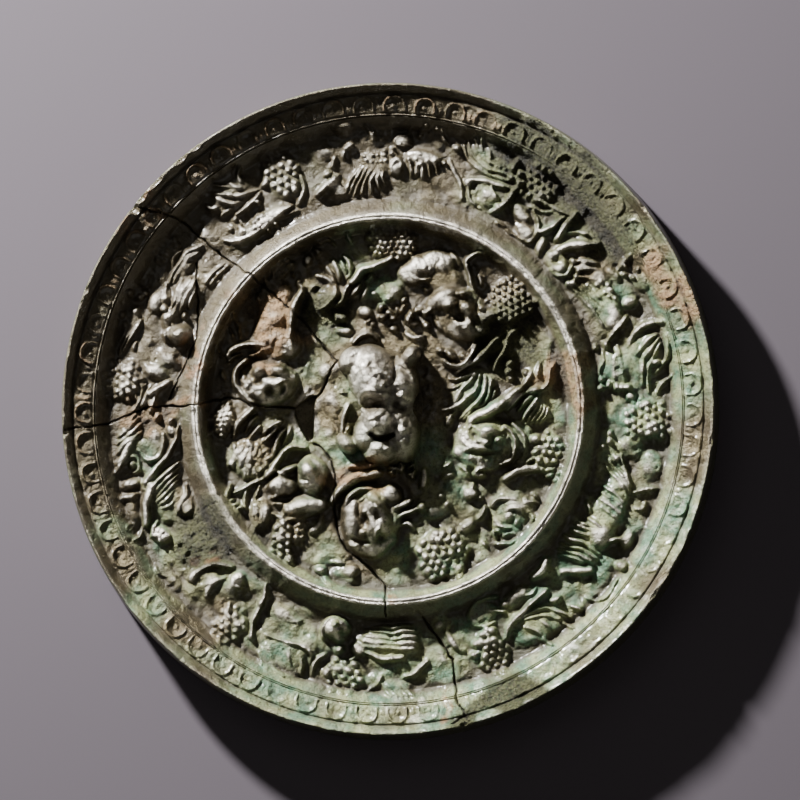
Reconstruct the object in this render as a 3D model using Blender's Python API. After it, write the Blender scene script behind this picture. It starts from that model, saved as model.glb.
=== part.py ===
"""Cast bronze mirror with beasts, birds and grape vines in high relief, lying on its flat face.

Metres, +Z up. The origin is the middle of the flat reflecting face, which is the underside, and +Y is the
side to which the knob beast's head points. The casting is a turned profile with the relief heaped on it.
"""

import math

import bmesh
import bpy
import numpy as np

# The turned profile, from the middle outwards
MIRROR_DIAMETER = 0.1400
RIM_HEIGHT = 0.0120
RIM_SIDE_SLANT = 0.0013
RIM_FOOT_ROUND = 0.0006
RIM_FACET_WIDTH = 0.0017
RIM_FACET_FALL = 0.0017
SCROLL_BAND_WIDTH = 0.0044
SCROLL_BAND_FALL = 0.0013
RIM_SLOPE_WIDTH = 0.0030
LINE_WIDTH = 0.0004
LINE_DEPTH = 0.0003
OUTER_FIELD_THICKNESS = 0.0055
RING_DIAMETER = 0.0818
RING_HEIGHT = 0.0091
RING_CREST_WIDTH = 0.0011
RING_INNER_FLANK = 0.0024
RING_OUTER_FLANK = 0.0036
INNER_FIELD_THICKNESS = 0.0050

# The knob beast and its cord hole
KNOB_LENGTH = 0.0272
KNOB_WIDTH = 0.0180
KNOB_RISE = 0.0092
CORD_HOLE_WIDTH = 0.0064
CORD_HOLE_HEIGHT = 0.0054
CORD_HOLE_SILL = 0.0003
CORD_HOLE_RUN_OUT = 0.0045

# Heights of the figures above their field
LION_RISE = 0.0036
BIRD_RISE = 0.0025
BUNCH_RISE = 0.0022
GRAPE_DIAMETER = 0.0015
LEAF_RISE = 0.0019
VINE_RISE = 0.0017
VINE_WIDTH = 0.0013
SCROLL_RISE = 0.00045
SCROLL_COUNT = 62
FILLET = 0.00025

# Breaks, as the casting was mended
CRACK_WIDTH = 0.0008
CRACK_DEPTH = 0.0009
LOSS_WIDTH = 0.0026
LOSS_DEPTH = 0.0016

# Fineness of the model
RASTER_STEP = 0.0003
MESH_STEP = 0.0006
TURNED_STEP = 0.0038
TRIANGLES = 9500
BRONZE_COLOUR = (0.21, 0.22, 0.17, 1.0)

RADIUS = MIRROR_DIAMETER / 2
RING_RADIUS = RING_DIAMETER / 2
RIM_CREST_RADIUS = RADIUS - RIM_SIDE_SLANT
SCROLL_BAND_OUTER = RIM_CREST_RADIUS - RIM_FACET_WIDTH
SCROLL_BAND_INNER = SCROLL_BAND_OUTER - SCROLL_BAND_WIDTH
RIM_FOOT_RADIUS = SCROLL_BAND_INNER - RIM_SLOPE_WIDTH
RING_FOOT_OUTER = RING_RADIUS + RING_CREST_WIDTH / 2 + RING_OUTER_FLANK
RING_FOOT_INNER = RING_RADIUS - RING_CREST_WIDTH / 2 - RING_INNER_FLANK
OUTER_FIELD_WIDTH = SCROLL_BAND_INNER - RING_FOOT_OUTER


def turned_profile():
    """Radius and height of the back's turned section, from the middle to the crest of the rim."""
    crest = RING_CREST_WIDTH / 2
    band_top = RIM_HEIGHT - RIM_FACET_FALL
    band_foot = band_top - SCROLL_BAND_FALL
    return [
        (0.0, INNER_FIELD_THICKNESS),
        (RING_FOOT_INNER, INNER_FIELD_THICKNESS),
        (RING_RADIUS - crest, RING_HEIGHT),
        (RING_RADIUS, RING_HEIGHT - LINE_DEPTH),
        (RING_RADIUS + crest, RING_HEIGHT),
        (RING_FOOT_OUTER, OUTER_FIELD_THICKNESS),
        (RIM_FOOT_RADIUS, OUTER_FIELD_THICKNESS),
        (SCROLL_BAND_INNER - LINE_WIDTH, band_foot - LINE_DEPTH),
        (SCROLL_BAND_INNER, band_foot),
        (SCROLL_BAND_OUTER - LINE_WIDTH, band_top),
        (SCROLL_BAND_OUTER, band_top - LINE_DEPTH),
        (RIM_CREST_RADIUS, RIM_HEIGHT),
    ]


def inner(u, v):
    """Point of the inner field, given as shares of its radius to the right and up."""
    return RING_FOOT_INNER * u, RING_FOOT_INNER * v


def outer(angle, share):
    """Point of the outer field, given in degrees and as a share of the way from the ring to the rim."""
    radius = RING_FOOT_OUTER + share * OUTER_FIELD_WIDTH
    return radius * math.cos(math.radians(angle)), radius * math.sin(math.radians(angle))


def bent_line(points, steps=5):
    """Smooth curve through a few points."""
    p = np.array(points, float)
    p = np.vstack([2 * p[0] - p[1], p, 2 * p[-1] - p[-2]])
    line = []
    for k in range(1, len(p) - 2):
        for t in np.linspace(0, 1, steps, endpoint=False):
            straight = p[k + 1] - p[k - 1]
            swing = 2 * p[k - 1] - 5 * p[k] + 4 * p[k + 1] - p[k + 2]
            twist = 3 * p[k] - p[k - 1] - 3 * p[k + 1] + p[k + 2]
            line.append(0.5 * (2 * p[k] + straight * t + swing * t**2 + twist * t**3))
    line.append(p[-2])
    return np.array(line)


class Relief:
    """Heights heaped on the turned profile, kept on a square raster over the back."""

    def __init__(self):
        count = int(2 * RADIUS / RASTER_STEP) + 2
        self.axis = np.linspace(-RADIUS, RADIUS, count)
        self.step = self.axis[1] - self.axis[0]
        self.x, self.y = np.meshgrid(self.axis, self.axis)
        self.lift = np.zeros_like(self.x)

    def window(self, xs, ys, reach):
        """Part of the raster within reach of some points."""
        low = [int((min(c) - reach + RADIUS) / self.step) for c in (ys, xs)]
        high = [int((max(c) + reach + RADIUS) / self.step) + 2 for c in (ys, xs)]
        return tuple(slice(max(0, a), max(1, b)) for a, b in zip(low, high))

    def heap(self, part, bulge, rise):
        """Join a boss to what is there, with a small fillet where the two meet."""
        top = np.where(bulge > 0, np.sqrt(np.maximum(bulge, 0)), bulge) * rise
        there = self.lift[part]
        self.lift[part] = (there + top + np.sqrt((there - top) ** 2 + FILLET**2) - FILLET) / 2
        self.lift[part] = np.where(bulge > -1, self.lift[part], there)

    def boss(self, at, length, width, turn, rise):
        """Rounded oval boss, with its full length along turn and its width across."""
        part = self.window([at[0]], [at[1]], max(length, width) / 2)
        dx = self.x[part] - at[0]
        dy = self.y[part] - at[1]
        c = math.cos(math.radians(turn))
        s = math.sin(math.radians(turn))
        along = (dx * c + dy * s) / (length / 2)
        across = (dy * c - dx * s) / (width / 2)
        self.heap(part, 1 - along**2 - across**2, rise)

    def distance(self, line, part):
        """Distance of the raster's points from a line, and how far along it they lie, from 0 to 1."""
        x = self.x[part]
        y = self.y[part]
        lengths = np.hypot(*np.diff(line, axis=0).T)
        nearest = np.full(x.shape, np.inf)
        along = np.zeros(x.shape)
        run = 0.0
        for start, end, length in zip(line[:-1], line[1:], lengths):
            dx, dy = end - start
            t = np.clip(((x - start[0]) * dx + (y - start[1]) * dy) / length**2, 0, 1)
            away = np.hypot(x - start[0] - t * dx, y - start[1] - t * dy)
            closer = away < nearest
            nearest = np.where(closer, away, nearest)
            along = np.where(closer, (run + t * length) / lengths.sum(), along)
            run += length
        return nearest, along

    def ridge(self, points, width, rise, ends=(1.0, 0.6)):
        """Rounded ridge along a curve through a few points; ends are the shares of width at its two ends."""
        line = bent_line(points)
        part = self.window(line[:, 0], line[:, 1], width)
        away, along = self.distance(line, part)
        half = width / 2 * (ends[0] + (ends[1] - ends[0]) * along)
        self.heap(part, 1 - (away / half) ** 2, rise)

    def groove(self, points, width, depth):
        """V-shaped groove along a broken line."""
        line = np.array(points, float)
        part = self.window(line[:, 0], line[:, 1], width)
        away, _ = self.distance(line, part)
        self.lift[part] -= depth * np.clip(1.3 - 1.3 * away / width, 0, 1)

    def at(self, x, y):
        """Height heaped at a point, between the raster's own points."""
        i = min(max((x + RADIUS) / self.step, 0), len(self.axis) - 1.001)
        j = min(max((y + RADIUS) / self.step, 0), len(self.axis) - 1.001)
        a = i - int(i)
        b = j - int(j)
        corner = self.lift[int(j) : int(j) + 2, int(i) : int(i) + 2]
        low = corner[0, 0] * (1 - a) + corner[0, 1] * a
        high = corner[1, 0] * (1 - a) + corner[1, 1] * a
        return low * (1 - b) + high * b


class Drawing:
    """Places of a figure's parts, as shares of its length along and across the way it faces."""

    def __init__(self, relief, at, length, turn, side=1, bend=0):
        self.relief = relief
        self.at = at
        self.length = length
        self.turn = turn
        self.side = side
        self.bend = math.radians(bend)

    def point(self, u, v):
        v *= self.side
        if self.bend:
            u, v = (
                (1 / self.bend - v) * math.sin(u * self.bend),
                1 / self.bend - (1 / self.bend - v) * math.cos(u * self.bend),
            )
        c = math.cos(math.radians(self.turn))
        s = math.sin(math.radians(self.turn))
        return self.at[0] + self.length * (u * c - v * s), self.at[1] + self.length * (u * s + v * c)

    def angle(self, degrees, u=0):
        return self.turn + self.side * degrees + math.degrees(self.bend * u)

    def boss(self, u, v, length, width, turn, rise):
        size = self.length
        self.relief.boss(self.point(u, v), length * size, width * size, self.angle(turn, u), rise)

    def ridge(self, points, width, rise, ends=(1.0, 0.6)):
        self.relief.ridge([self.point(*p) for p in points], width * self.length, rise, ends)


def grape_bunch(relief, at, length, width, turn):
    """Oval mound with rows of round grapes packed over it."""
    relief.boss(at, length, width, turn, BUNCH_RISE * 0.8)
    pitch = GRAPE_DIAMETER * 0.95
    row_pitch = pitch * math.sqrt(3) / 2
    c = math.cos(math.radians(turn))
    s = math.sin(math.radians(turn))
    rows = int(width / 2 / row_pitch)
    for row in range(-rows, rows + 1):
        across = row * row_pitch
        count = int(length / pitch)
        for k in range(-count, count + 1):
            along = (k + 0.5 * (row % 2)) * pitch
            out = (2 * along / length) ** 2 + (2 * across / width) ** 2
            if out < 0.85:
                grape = (at[0] + along * c - across * s, at[1] + along * s + across * c)
                rise = BUNCH_RISE * (0.8 * math.sqrt(1 - out) + 0.35)
                relief.boss(grape, GRAPE_DIAMETER, GRAPE_DIAMETER, 0, rise)


def leaf(relief, at, length, width, turn, ribs=5, curl=0.2):
    """Lobed leaf: ribs leave its foot together and swing out to its round edge."""
    drawing = Drawing(relief, at, length, turn)
    spread = width / length
    drawing.boss(0, 0, 1.0, spread, 0, LEAF_RISE * 0.6)
    for k in range(ribs):
        side = 2 * k / (ribs - 1) - 1
        way = [(-0.5, 0), (-0.1, side * spread * 0.42), (0.3, side * spread * 0.4)]
        way.append((0.5 - 0.1 * abs(side), side * spread * 0.2 + curl * spread))
        drawing.ridge(way, spread / ribs, LEAF_RISE)


def wing(drawing, root, direction, length, spread, feathers=6):
    """Wing: a short shield at its root, and flight feathers that fan out from it."""
    drawing.boss(*root, length * 0.55, length * 0.4, direction, BIRD_RISE * 0.9)
    for k in range(feathers):
        angle = math.radians(direction + spread * (k / (feathers - 1) - 0.5))
        reach = length * (1 - 0.2 * abs(2 * k / (feathers - 1) - 1))
        way = [root]
        for share, swing in ((0.55, 0.03), (1.0, 0.15)):
            u = root[0] + reach * share * math.cos(angle) - length * swing
            way.append((u, root[1] + reach * share * math.sin(angle)))
        drawing.ridge(way, length * math.radians(spread) / feathers, BIRD_RISE * 0.75, (0.5, 0.9))


def bird(relief, at, length, turn, wings=((120, 0.5, 70), (-120, 0.5, 70)), side=1):
    """Bird from above: tail, two wings, body and head with a beak, facing the way of turn."""
    drawing = Drawing(relief, at, length, turn, side)
    for k in range(-2, 3):
        drawing.ridge([(-0.15, 0), (-0.4, 0.04 * k), (-0.62, 0.1 * k)], 0.08, BIRD_RISE * 0.7)
    for direction, reach, spread in wings:
        wing(drawing, (0.05, math.copysign(0.08, direction)), direction, reach, spread)
    drawing.boss(-0.02, 0, 0.56, 0.28, 0, BIRD_RISE)
    drawing.boss(0.3, 0, 0.25, 0.22, 0, BIRD_RISE * 1.15)
    drawing.ridge([(0.38, 0), (0.5, -0.02)], 0.1, BIRD_RISE * 0.7, (1.0, 0.4))


def lion(relief, at, length, turn, head=0.42, rise=LION_RISE, side=1, bend=0):
    """Crouching lion: tail, legs and paws, arched body, mane of curls and a broad face turned up."""
    drawing = Drawing(relief, at, length, turn, side, bend)
    drawing.ridge([(-0.42, 0), (-0.55, 0.14), (-0.45, 0.28), (-0.3, 0.24)], 0.1, rise * 0.6)
    for v in (0.13, -0.13):
        drawing.ridge([(-0.3, v), (-0.24, v * 1.9), (-0.05, v * 2.1)], 0.15, rise * 0.7)
        drawing.ridge([(0.1, v), (0.18, v * 2.1), (0.36, v * 2.4)], 0.13, rise * 0.7)
    drawing.boss(-0.26, 0, 0.42, 0.40, 0, rise * 0.92)
    drawing.boss(-0.04, 0, 0.62, 0.34, 0, rise * 0.9)
    drawing.boss(0.12, 0, 0.36, 0.38, 0, rise * 0.95)
    for k in range(9):
        around = math.radians(60 + 30 * k)
        curl = (0.36 + head * 0.48 * math.cos(around), head * 0.48 * math.sin(around))
        drawing.boss(*curl, head * 0.34, head * 0.34, 0, rise)
    drawing.boss(0.36, 0, head, head * 0.94, 0, rise * 1.15)
    drawing.boss(0.36 + head * 0.3, 0, head * 0.42, head * 0.5, 0, rise * 1.28)
    for v in (head * 0.22, -head * 0.22):
        drawing.boss(0.36 + head * 0.05, v, head * 0.22, head * 0.26, 0, rise * 1.3)
        drawing.boss(0.36 - head * 0.3, v * 1.7, head * 0.26, head * 0.2, 40, rise * 1.25)


def knob_beast(relief):
    """Beast that crouches in the middle: back, broad head with brow and muzzle, haunches and feet."""
    size = KNOB_LENGTH
    wide = KNOB_WIDTH / KNOB_LENGTH
    drawing = Drawing(relief, inner(-0.02, 0.04), size, 96)
    for u, v in ((-0.34, 0.42), (-0.28, -0.42), (0.3, -0.5), (0.26, 0.5)):
        drawing.ridge([(u * 0.8, v * 0.5), (u, v * wide * 1.3)], 0.2, KNOB_RISE * 0.66, (1.0, 0.8))
    for shrink, share in ((1.0, 0.82), (0.93, 0.93), (0.8, 1.0)):
        drawing.boss(0, 0, shrink, wide * shrink, 0, KNOB_RISE * share)
    drawing.boss(0.22, 0.07, 0.56, wide * 0.86, 0, KNOB_RISE * 1.04)
    drawing.boss(-0.24, -0.1, 0.42, wide * 0.66, 0, KNOB_RISE * 0.96)
    drawing.boss(-0.01, 0.14, 0.2, 0.22, 0, KNOB_RISE * 1.1)
    for v in (0.2, -0.06):
        drawing.boss(0.18, v, 0.13, 0.15, 0, KNOB_RISE * 1.12)
        drawing.boss(0.36, v * 1.3, 0.16, 0.13, 30, KNOB_RISE * 0.98)
    drawing.ridge([(-0.28, 0.3), (-0.38, 0.1), (-0.46, -0.12)], 0.12, KNOB_RISE * 0.72)


def inner_field(relief):
    """Five lions round the knob, with vines, leaves and grape bunches between them."""
    size = RING_FOOT_INNER
    lion(relief, inner(-0.60, 0.46), 0.80 * size, -97, 0.40, bend=-25)
    lion(relief, inner(0.30, 0.66), 0.58 * size, -48, 0.50, bend=20)
    lion(relief, inner(0.76, -0.14), 0.52 * size, 188, 0.56, side=-1, bend=15)
    lion(relief, inner(-0.17, -0.68), 0.46 * size, 68, 0.64)
    lion(relief, inner(-0.48, -0.49), 0.42 * size, 62, 0.52, bend=15)
    for u, v, length, width, turn in (
        (0.03, 0.90, 0.22, 0.19, 0),
        (0.69, 0.61, 0.26, 0.26, 0),
        (-0.58, 0.80, 0.17, 0.13, 0),
        (-0.90, -0.06, 0.23, 0.17, 90),
        (-0.57, -0.72, 0.25, 0.17, 80),
        (0.32, -0.80, 0.33, 0.29, 90),
        (0.90, -0.21, 0.22, 0.20, 90),
    ):
        grape_bunch(relief, inner(u, v), length * size, width * size, turn)
    for u, v, length, width, turn, ribs in (
        (-0.31, 0.70, 0.26, 0.22, 60, 4),
        (0.47, 0.09, 0.42, 0.24, 240, 6),
        (0.81, 0.08, 0.24, 0.18, 80, 5),
        (0.68, -0.61, 0.26, 0.26, 20, 6),
        (-0.73, -0.58, 0.16, 0.15, 90, 4),
        (-0.65, -0.15, 0.26, 0.20, 30, 6),
    ):
        leaf(relief, inner(u, v), length * size, width * size, turn, ribs)
    for way in (
        ((-0.24, 0.61), (-0.18, 0.73), (0.06, 0.86)),
        ((-0.30, -0.45), (-0.21, -0.37), (-0.07, -0.34)),
        ((-0.62, -0.29), (-0.50, -0.20), (-0.38, -0.22)),
        ((-0.46, 0.95), (-0.38, 0.99), (-0.30, 0.94)),
        ((0.45, 0.84), (0.53, 0.75), (0.51, 0.62)),
        ((0.33, 0.25), (0.42, 0.34), (0.50, 0.36)),
        ((0.42, 0.22), (0.50, 0.30), (0.60, 0.39)),
        ((0.53, -0.49), (0.52, -0.57), (0.55, -0.66)),
        ((-0.75, 0.02), (-0.82, -0.06), (-0.86, -0.15)),
        ((-0.40, -0.86), (-0.34, -0.92), (-0.30, -0.97)),
    ):
        relief.ridge([inner(*p) for p in way], VINE_WIDTH * 1.2, VINE_RISE)
    for u, v in ((-0.26, 0.50), (0.0, 0.57), (0.15, 0.54), (0.68, 0.26), (0.68, 0.20), (-0.44, 0.85)):
        relief.boss(inner(u, v), GRAPE_DIAMETER * 1.4, GRAPE_DIAMETER * 1.4, 0, BUNCH_RISE)


def outer_field(relief):
    """Birds and running beasts between the ring and the rim, in a wreath of vines, leaves and grapes."""
    size = OUTER_FIELD_WIDTH
    bird(relief, outer(86, 0.42), 0.95 * size, -96, ((-95, 0.62, 60), (95, 0.45, 60)))
    bird(relief, outer(36, 0.46), 1.10 * size, -8, ((100, 0.35, 60), (-70, 0.75, 55)))
    bird(relief, outer(337, 0.38), 1.15 * size, -80, ((-95, 0.60, 60), (-150, 0.60, 45)))
    bird(relief, outer(268, 0.40), 1.15 * size, 165, ((-100, 0.35, 60), (60, 0.55, 60)))
    bird(relief, outer(202, 0.55), 1.10 * size, -80, ((75, 0.50, 60), (-75, 0.40, 60)))
    bird(relief, outer(124, 0.62), 0.80 * size, 205, ((100, 0.45, 60), (-100, 0.40, 60)))
    lion(relief, outer(159, 0.36), 0.85 * size, -80, 0.38, LION_RISE * 0.65)
    lion(relief, outer(322, 0.62), 0.75 * size, 10, 0.38, LION_RISE * 0.6)
    for angle, share, length, width, turn in (
        (58, 0.66, 0.62, 0.55, 60),
        (356, 0.55, 0.60, 0.56, 90),
        (294, 0.52, 0.58, 0.52, 90),
        (261, 0.70, 0.70, 0.48, 10),
        (234, 0.66, 0.64, 0.58, 70),
        (173, 0.56, 0.46, 0.38, 90),
        (145, 0.74, 0.38, 0.36, 90),
        (115, 0.50, 0.64, 0.46, 70),
    ):
        grape_bunch(relief, outer(angle, share), length * size, width * size, turn)
    for angle, share, length, width, turn, ribs in (
        (70, 0.68, 0.68, 0.58, -40, 5),
        (48, 0.50, 0.34, 0.28, 30, 4),
        (12, 0.50, 0.88, 0.80, 40, 6),
        (307, 0.52, 0.92, 0.56, 215, 5),
        (249, 0.62, 0.54, 0.52, 80, 4),
        (220, 0.45, 0.40, 0.34, 60, 4),
        (187, 0.50, 0.66, 0.56, 45, 5),
        (144, 0.40, 0.46, 0.36, 40, 5),
        (100, 0.80, 0.40, 0.30, 150, 4),
    ):
        leaf(relief, outer(angle, share), length * size, width * size, turn, ribs)
    for way in (
        ((71, 0.30), (66, 0.36), (61, 0.44)),
        ((62, 0.12), (60, 0.28), (58, 0.48)),
        ((53, 0.15), (50, 0.40), (46, 0.30)),
        ((21, 0.55), (19, 0.30), (16, 0.10)),
        ((312, 0.22), (316, 0.26), (320, 0.34)),
        ((300, 0.80), (296, 0.92), (292, 0.96)),
        ((257, 0.45), (254, 0.60), (252, 0.85)),
        ((235, 0.05), (236, 0.30), (238, 0.62)),
        ((223, 0.35), (226, 0.15), (236, 0.08)),
        ((196, 0.50), (192, 0.30), (184, 0.06)),
        ((192, 0.75), (188, 0.92), (180, 0.84)),
        ((130, 0.06), (122, 0.10), (113, 0.08)),
    ):
        relief.ridge([outer(*p) for p in way], VINE_WIDTH, VINE_RISE)
    relief.boss(outer(314, 0.20), 0.38 * size, 0.38 * size, 0, BIRD_RISE)


def scroll_border(relief):
    """Row of cloud scrolls round the rim: each a hook of three quarters of a turn."""
    radius = (SCROLL_BAND_OUTER + SCROLL_BAND_INNER) / 2
    size = SCROLL_BAND_WIDTH
    for k in range(SCROLL_COUNT):
        turn = 360 * k / SCROLL_COUNT
        centre = (radius * math.cos(math.radians(turn)), radius * math.sin(math.radians(turn)))
        drawing = Drawing(relief, centre, size, turn)
        hook = []
        for step in range(5):
            around = math.radians(-100 + 65 * step)
            hook.append((0.3 * math.cos(around), 0.36 * math.sin(around)))
        drawing.ridge(hook, 0.26, SCROLL_RISE, (0.8, 0.8))


def crack_lines():
    """Mended cracks through the casting, each as a broken line."""
    return [
        [outer(184, 1.60), outer(183, 0.90), outer(179, 0.40), outer(179, -0.17)],
        [outer(179, -0.17), inner(-1.00, 0.06), inner(-0.77, 0.04), inner(-0.49, 0.03)],
        [outer(142, 1.60), outer(138, 1.00), outer(137, 0.16), inner(-0.71, 0.70)],
        [inner(-0.71, 0.70), inner(-0.49, 0.51), inner(-0.29, 0.28), inner(-0.34, 0.15), inner(-0.42, 0.02)],
        [outer(142, 0.40), outer(159, 0.05), outer(177, 0.08)],
        [inner(-0.42, -0.19), inner(-0.31, -0.32), inner(-0.30, -0.63), inner(-0.17, -0.85), inner(-0.03, -0.99)],
        [inner(-0.03, -0.99), outer(269, -0.05)],
        [outer(279, -0.05), outer(284, 0.60), outer(283, 1.10), outer(285, 1.60)],
    ]


def breaks(relief):
    """The cracks as grooves, and the piece that is lost beside the knob."""
    for crack in crack_lines():
        relief.groove(crack, CRACK_WIDTH, CRACK_DEPTH)
    relief.groove([inner(-0.46, 0.05), inner(-0.43, -0.17)], LOSS_WIDTH, LOSS_DEPTH)


def crack_angles(radius):
    """Angles at which the cracks cross a circle round the middle."""
    angles = []
    for crack in crack_lines():
        for (x0, y0), (x1, y1) in zip(crack[:-1], crack[1:]):
            r0 = math.hypot(x0, y0)
            r1 = math.hypot(x1, y1)
            if (r0 - radius) * (r1 - radius) < 0:
                t = (radius - r0) / (r1 - r0)
                angles.append(math.atan2(y0 + (y1 - y0) * t, x0 + (x1 - x0) * t) % (2 * math.pi))
    return angles


def circle_angles(radius, spacing, cracked):
    """Evenly spaced angles on a circle, with three closer ones wherever a crack crosses it."""
    count = max(6, round(2 * math.pi * radius / spacing))
    angles = [2 * math.pi * k / count for k in range(count)]
    if cracked:
        half = CRACK_WIDTH / 2 / radius
        for crossing in crack_angles(radius):
            angles = [a for a in angles if abs(a - crossing) > 2 * half]
            angles += [crossing - half, crossing, crossing + half]
    return sorted(angles)


def section_rings():
    """Circles of the plate, each as radius, height, spacing of its points, and whether it takes relief."""
    knots = turned_profile()
    rings = []
    for (r0, z0), (r1, z1) in zip(knots[:-1], knots[1:]):
        rings.append((r0, z0, TURNED_STEP, True))
        steps = math.ceil((r1 - r0) / MESH_STEP)
        for k in range(1, steps):
            share = k / steps
            rings.append((r0 + (r1 - r0) * share, z0 + (z1 - z0) * share, MESH_STEP, True))
    rings.append((RIM_CREST_RADIUS, RIM_HEIGHT, TURNED_STEP, True))
    rings.append((RADIUS, RIM_FOOT_ROUND, TURNED_STEP, False))
    rings.append((RADIUS - RIM_FOOT_ROUND, 0.0, TURNED_STEP, False))
    return rings[1:]


def mirror_mesh(relief):
    """Closed mesh of the plate: circles of points over the back, the rim's side and the flat face.

    The points that may be thinned afterwards are in the mesh's first vertex group; the others keep the
    turned circles round and the face flat.
    """
    bm = bmesh.new()
    weights = bm.verts.layers.deform.verify()
    last = [bm.verts.new((0, 0, INNER_FIELD_THICKNESS + relief.at(0, 0)))]
    last_angles = [0.0]
    for radius, height, spacing, carved in section_rings():
        angles = circle_angles(radius, spacing, carved and spacing == TURNED_STEP)
        ring = []
        for angle in angles:
            x = radius * math.cos(angle)
            y = radius * math.sin(angle)
            point = bm.verts.new((x, y, height + relief.at(x, y) if carved else height))
            if spacing == MESH_STEP:
                point[weights][0] = 1.0
            ring.append(point)
        join_rings(bm, last, last_angles, ring, angles)
        last = ring
        last_angles = angles
    join_rings(bm, last, last_angles, [bm.verts.new((0, 0, 0))], [0.0])
    mesh = bpy.data.meshes.new("mirror")
    bm.to_mesh(mesh)
    bm.free()
    return mesh


def join_rings(bm, a, a_angles, b, b_angles):
    """Triangles between two circles of points, either of which may be a single point."""
    i = 0
    j = 0
    a_end = len(a) if len(a) > 1 else 0
    b_end = len(b) if len(b) > 1 else 0
    a_next = [*a_angles[1:], a_angles[0] + 2 * math.pi]
    b_next = [*b_angles[1:], b_angles[0] + 2 * math.pi]
    while i < a_end or j < b_end:
        if j >= b_end or (i < a_end and a_next[i] <= b_next[j]):
            bm.faces.new((a[i % len(a)], b[j % len(b)], a[(i + 1) % len(a)]))
            i += 1
        else:
            bm.faces.new((a[i % len(a)], b[j % len(b)], b[(j + 1) % len(b)]))
            j += 1


def bronze():
    """Dark bronze under a green patina."""
    material = bpy.data.materials.new("patinated bronze")
    material.use_nodes = True
    shader = material.node_tree.nodes["Principled BSDF"]
    shader.inputs["Base Color"].default_value = BRONZE_COLOUR
    shader.inputs["Metallic"].default_value = 0.6
    shader.inputs["Roughness"].default_value = 0.5
    return material


def cord_hole():
    """Cutter for the hole that runs across under the knob beast: flat below and arched above."""
    half = CORD_HOLE_WIDTH / 2
    floor = INNER_FIELD_THICKNESS + CORD_HOLE_SILL
    spring = floor + CORD_HOLE_HEIGHT - half
    middle_x, middle_y = inner(-0.02, 0.01)
    reach = KNOB_WIDTH / 2 + CORD_HOLE_RUN_OUT
    section = [(middle_y - half, floor), (middle_y + half, floor)]
    for step in range(9):
        angle = math.pi * step / 8
        section.append((middle_y + half * math.cos(angle), spring + half * math.sin(angle)))
    bm = bmesh.new()
    end = bm.faces.new([bm.verts.new((middle_x - reach, y, z)) for y, z in section])
    swept = bmesh.ops.extrude_face_region(bm, geom=[end])
    moved = [item for item in swept["geom"] if isinstance(item, bmesh.types.BMVert)]
    bmesh.ops.translate(bm, verts=moved, vec=(2 * reach, 0, 0))
    bmesh.ops.recalc_face_normals(bm, faces=bm.faces)
    mesh = bpy.data.meshes.new("cord hole cutter")
    bm.to_mesh(mesh)
    bm.free()
    cutter = bpy.data.objects.new("cord_hole_cutter", mesh)
    cutter.hide_render = True
    cutter.display_type = "WIRE"
    bpy.context.scene.collection.objects.link(cutter)
    return cutter


def mirror():
    """The whole casting as one object."""
    relief = Relief()
    scroll_border(relief)
    inner_field(relief)
    outer_field(relief)
    breaks(relief)
    knob_beast(relief)
    thing = bpy.data.objects.new("mirror", mirror_mesh(relief))
    bpy.context.scene.collection.objects.link(thing)
    thing.data.materials.append(bronze())
    carved = thing.vertex_groups.new(name="carved")
    thinner = thing.modifiers.new("thin the mesh", "DECIMATE")
    thinner.ratio = TRIANGLES / len(thing.data.polygons)
    thinner.vertex_group = carved.name
    hole = thing.modifiers.new("cord hole", "BOOLEAN")
    hole.operation = "DIFFERENCE"
    hole.solver = "EXACT"
    hole.object = cord_hole()
    thing.data.shade_smooth()
    thing.data.set_sharp_from_angle(angle=math.radians(40))
    return thing


def clear_scene():
    for thing in list(bpy.data.objects):
        bpy.data.objects.remove(thing)


clear_scene()
mirror()
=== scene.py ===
# %% [markdown]
# # A lion and grapevine mirror, dressed for its portrait
#
# The object is a round cast bronze mirror that lies on its polished face, so that the decorated back looks
# up. A tall rim with a scroll border and a ridged ring divide the back into two fields. Both fields are
# packed with beasts, birds, leaves and bunches of grapes, and a crouching beast in the middle is pierced
# from side to side for a cord.
#
# The frame brings in the solid model, and everything here is drawn in the same place and at the same size.

# %% Load the frame
from math import cos, hypot, pi, radians, sin

import bpy
import numpy as np
from mathutils import Matrix, Vector


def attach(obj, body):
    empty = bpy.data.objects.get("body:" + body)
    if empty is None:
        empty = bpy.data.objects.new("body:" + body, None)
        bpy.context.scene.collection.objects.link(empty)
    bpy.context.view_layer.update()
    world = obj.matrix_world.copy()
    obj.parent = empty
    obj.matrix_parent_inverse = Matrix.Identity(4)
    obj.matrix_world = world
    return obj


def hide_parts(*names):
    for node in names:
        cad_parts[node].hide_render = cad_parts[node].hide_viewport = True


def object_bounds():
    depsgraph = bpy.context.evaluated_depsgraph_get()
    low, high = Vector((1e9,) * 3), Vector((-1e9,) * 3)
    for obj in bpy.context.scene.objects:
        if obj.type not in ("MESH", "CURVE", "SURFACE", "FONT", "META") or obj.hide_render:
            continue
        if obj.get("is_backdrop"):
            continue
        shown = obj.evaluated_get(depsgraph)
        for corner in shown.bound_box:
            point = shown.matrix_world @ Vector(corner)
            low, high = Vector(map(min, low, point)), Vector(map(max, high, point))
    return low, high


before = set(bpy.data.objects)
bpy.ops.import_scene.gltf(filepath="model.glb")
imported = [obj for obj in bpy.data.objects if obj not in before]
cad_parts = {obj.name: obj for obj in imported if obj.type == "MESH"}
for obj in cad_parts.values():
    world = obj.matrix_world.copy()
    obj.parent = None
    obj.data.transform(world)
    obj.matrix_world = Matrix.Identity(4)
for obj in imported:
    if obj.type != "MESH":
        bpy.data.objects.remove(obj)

CAD_LOW, CAD_HIGH = (Vector(corner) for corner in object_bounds())
print("solid model, mm:", [round(side * 1000, 1) for side in CAD_HIGH - CAD_LOW])

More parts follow.
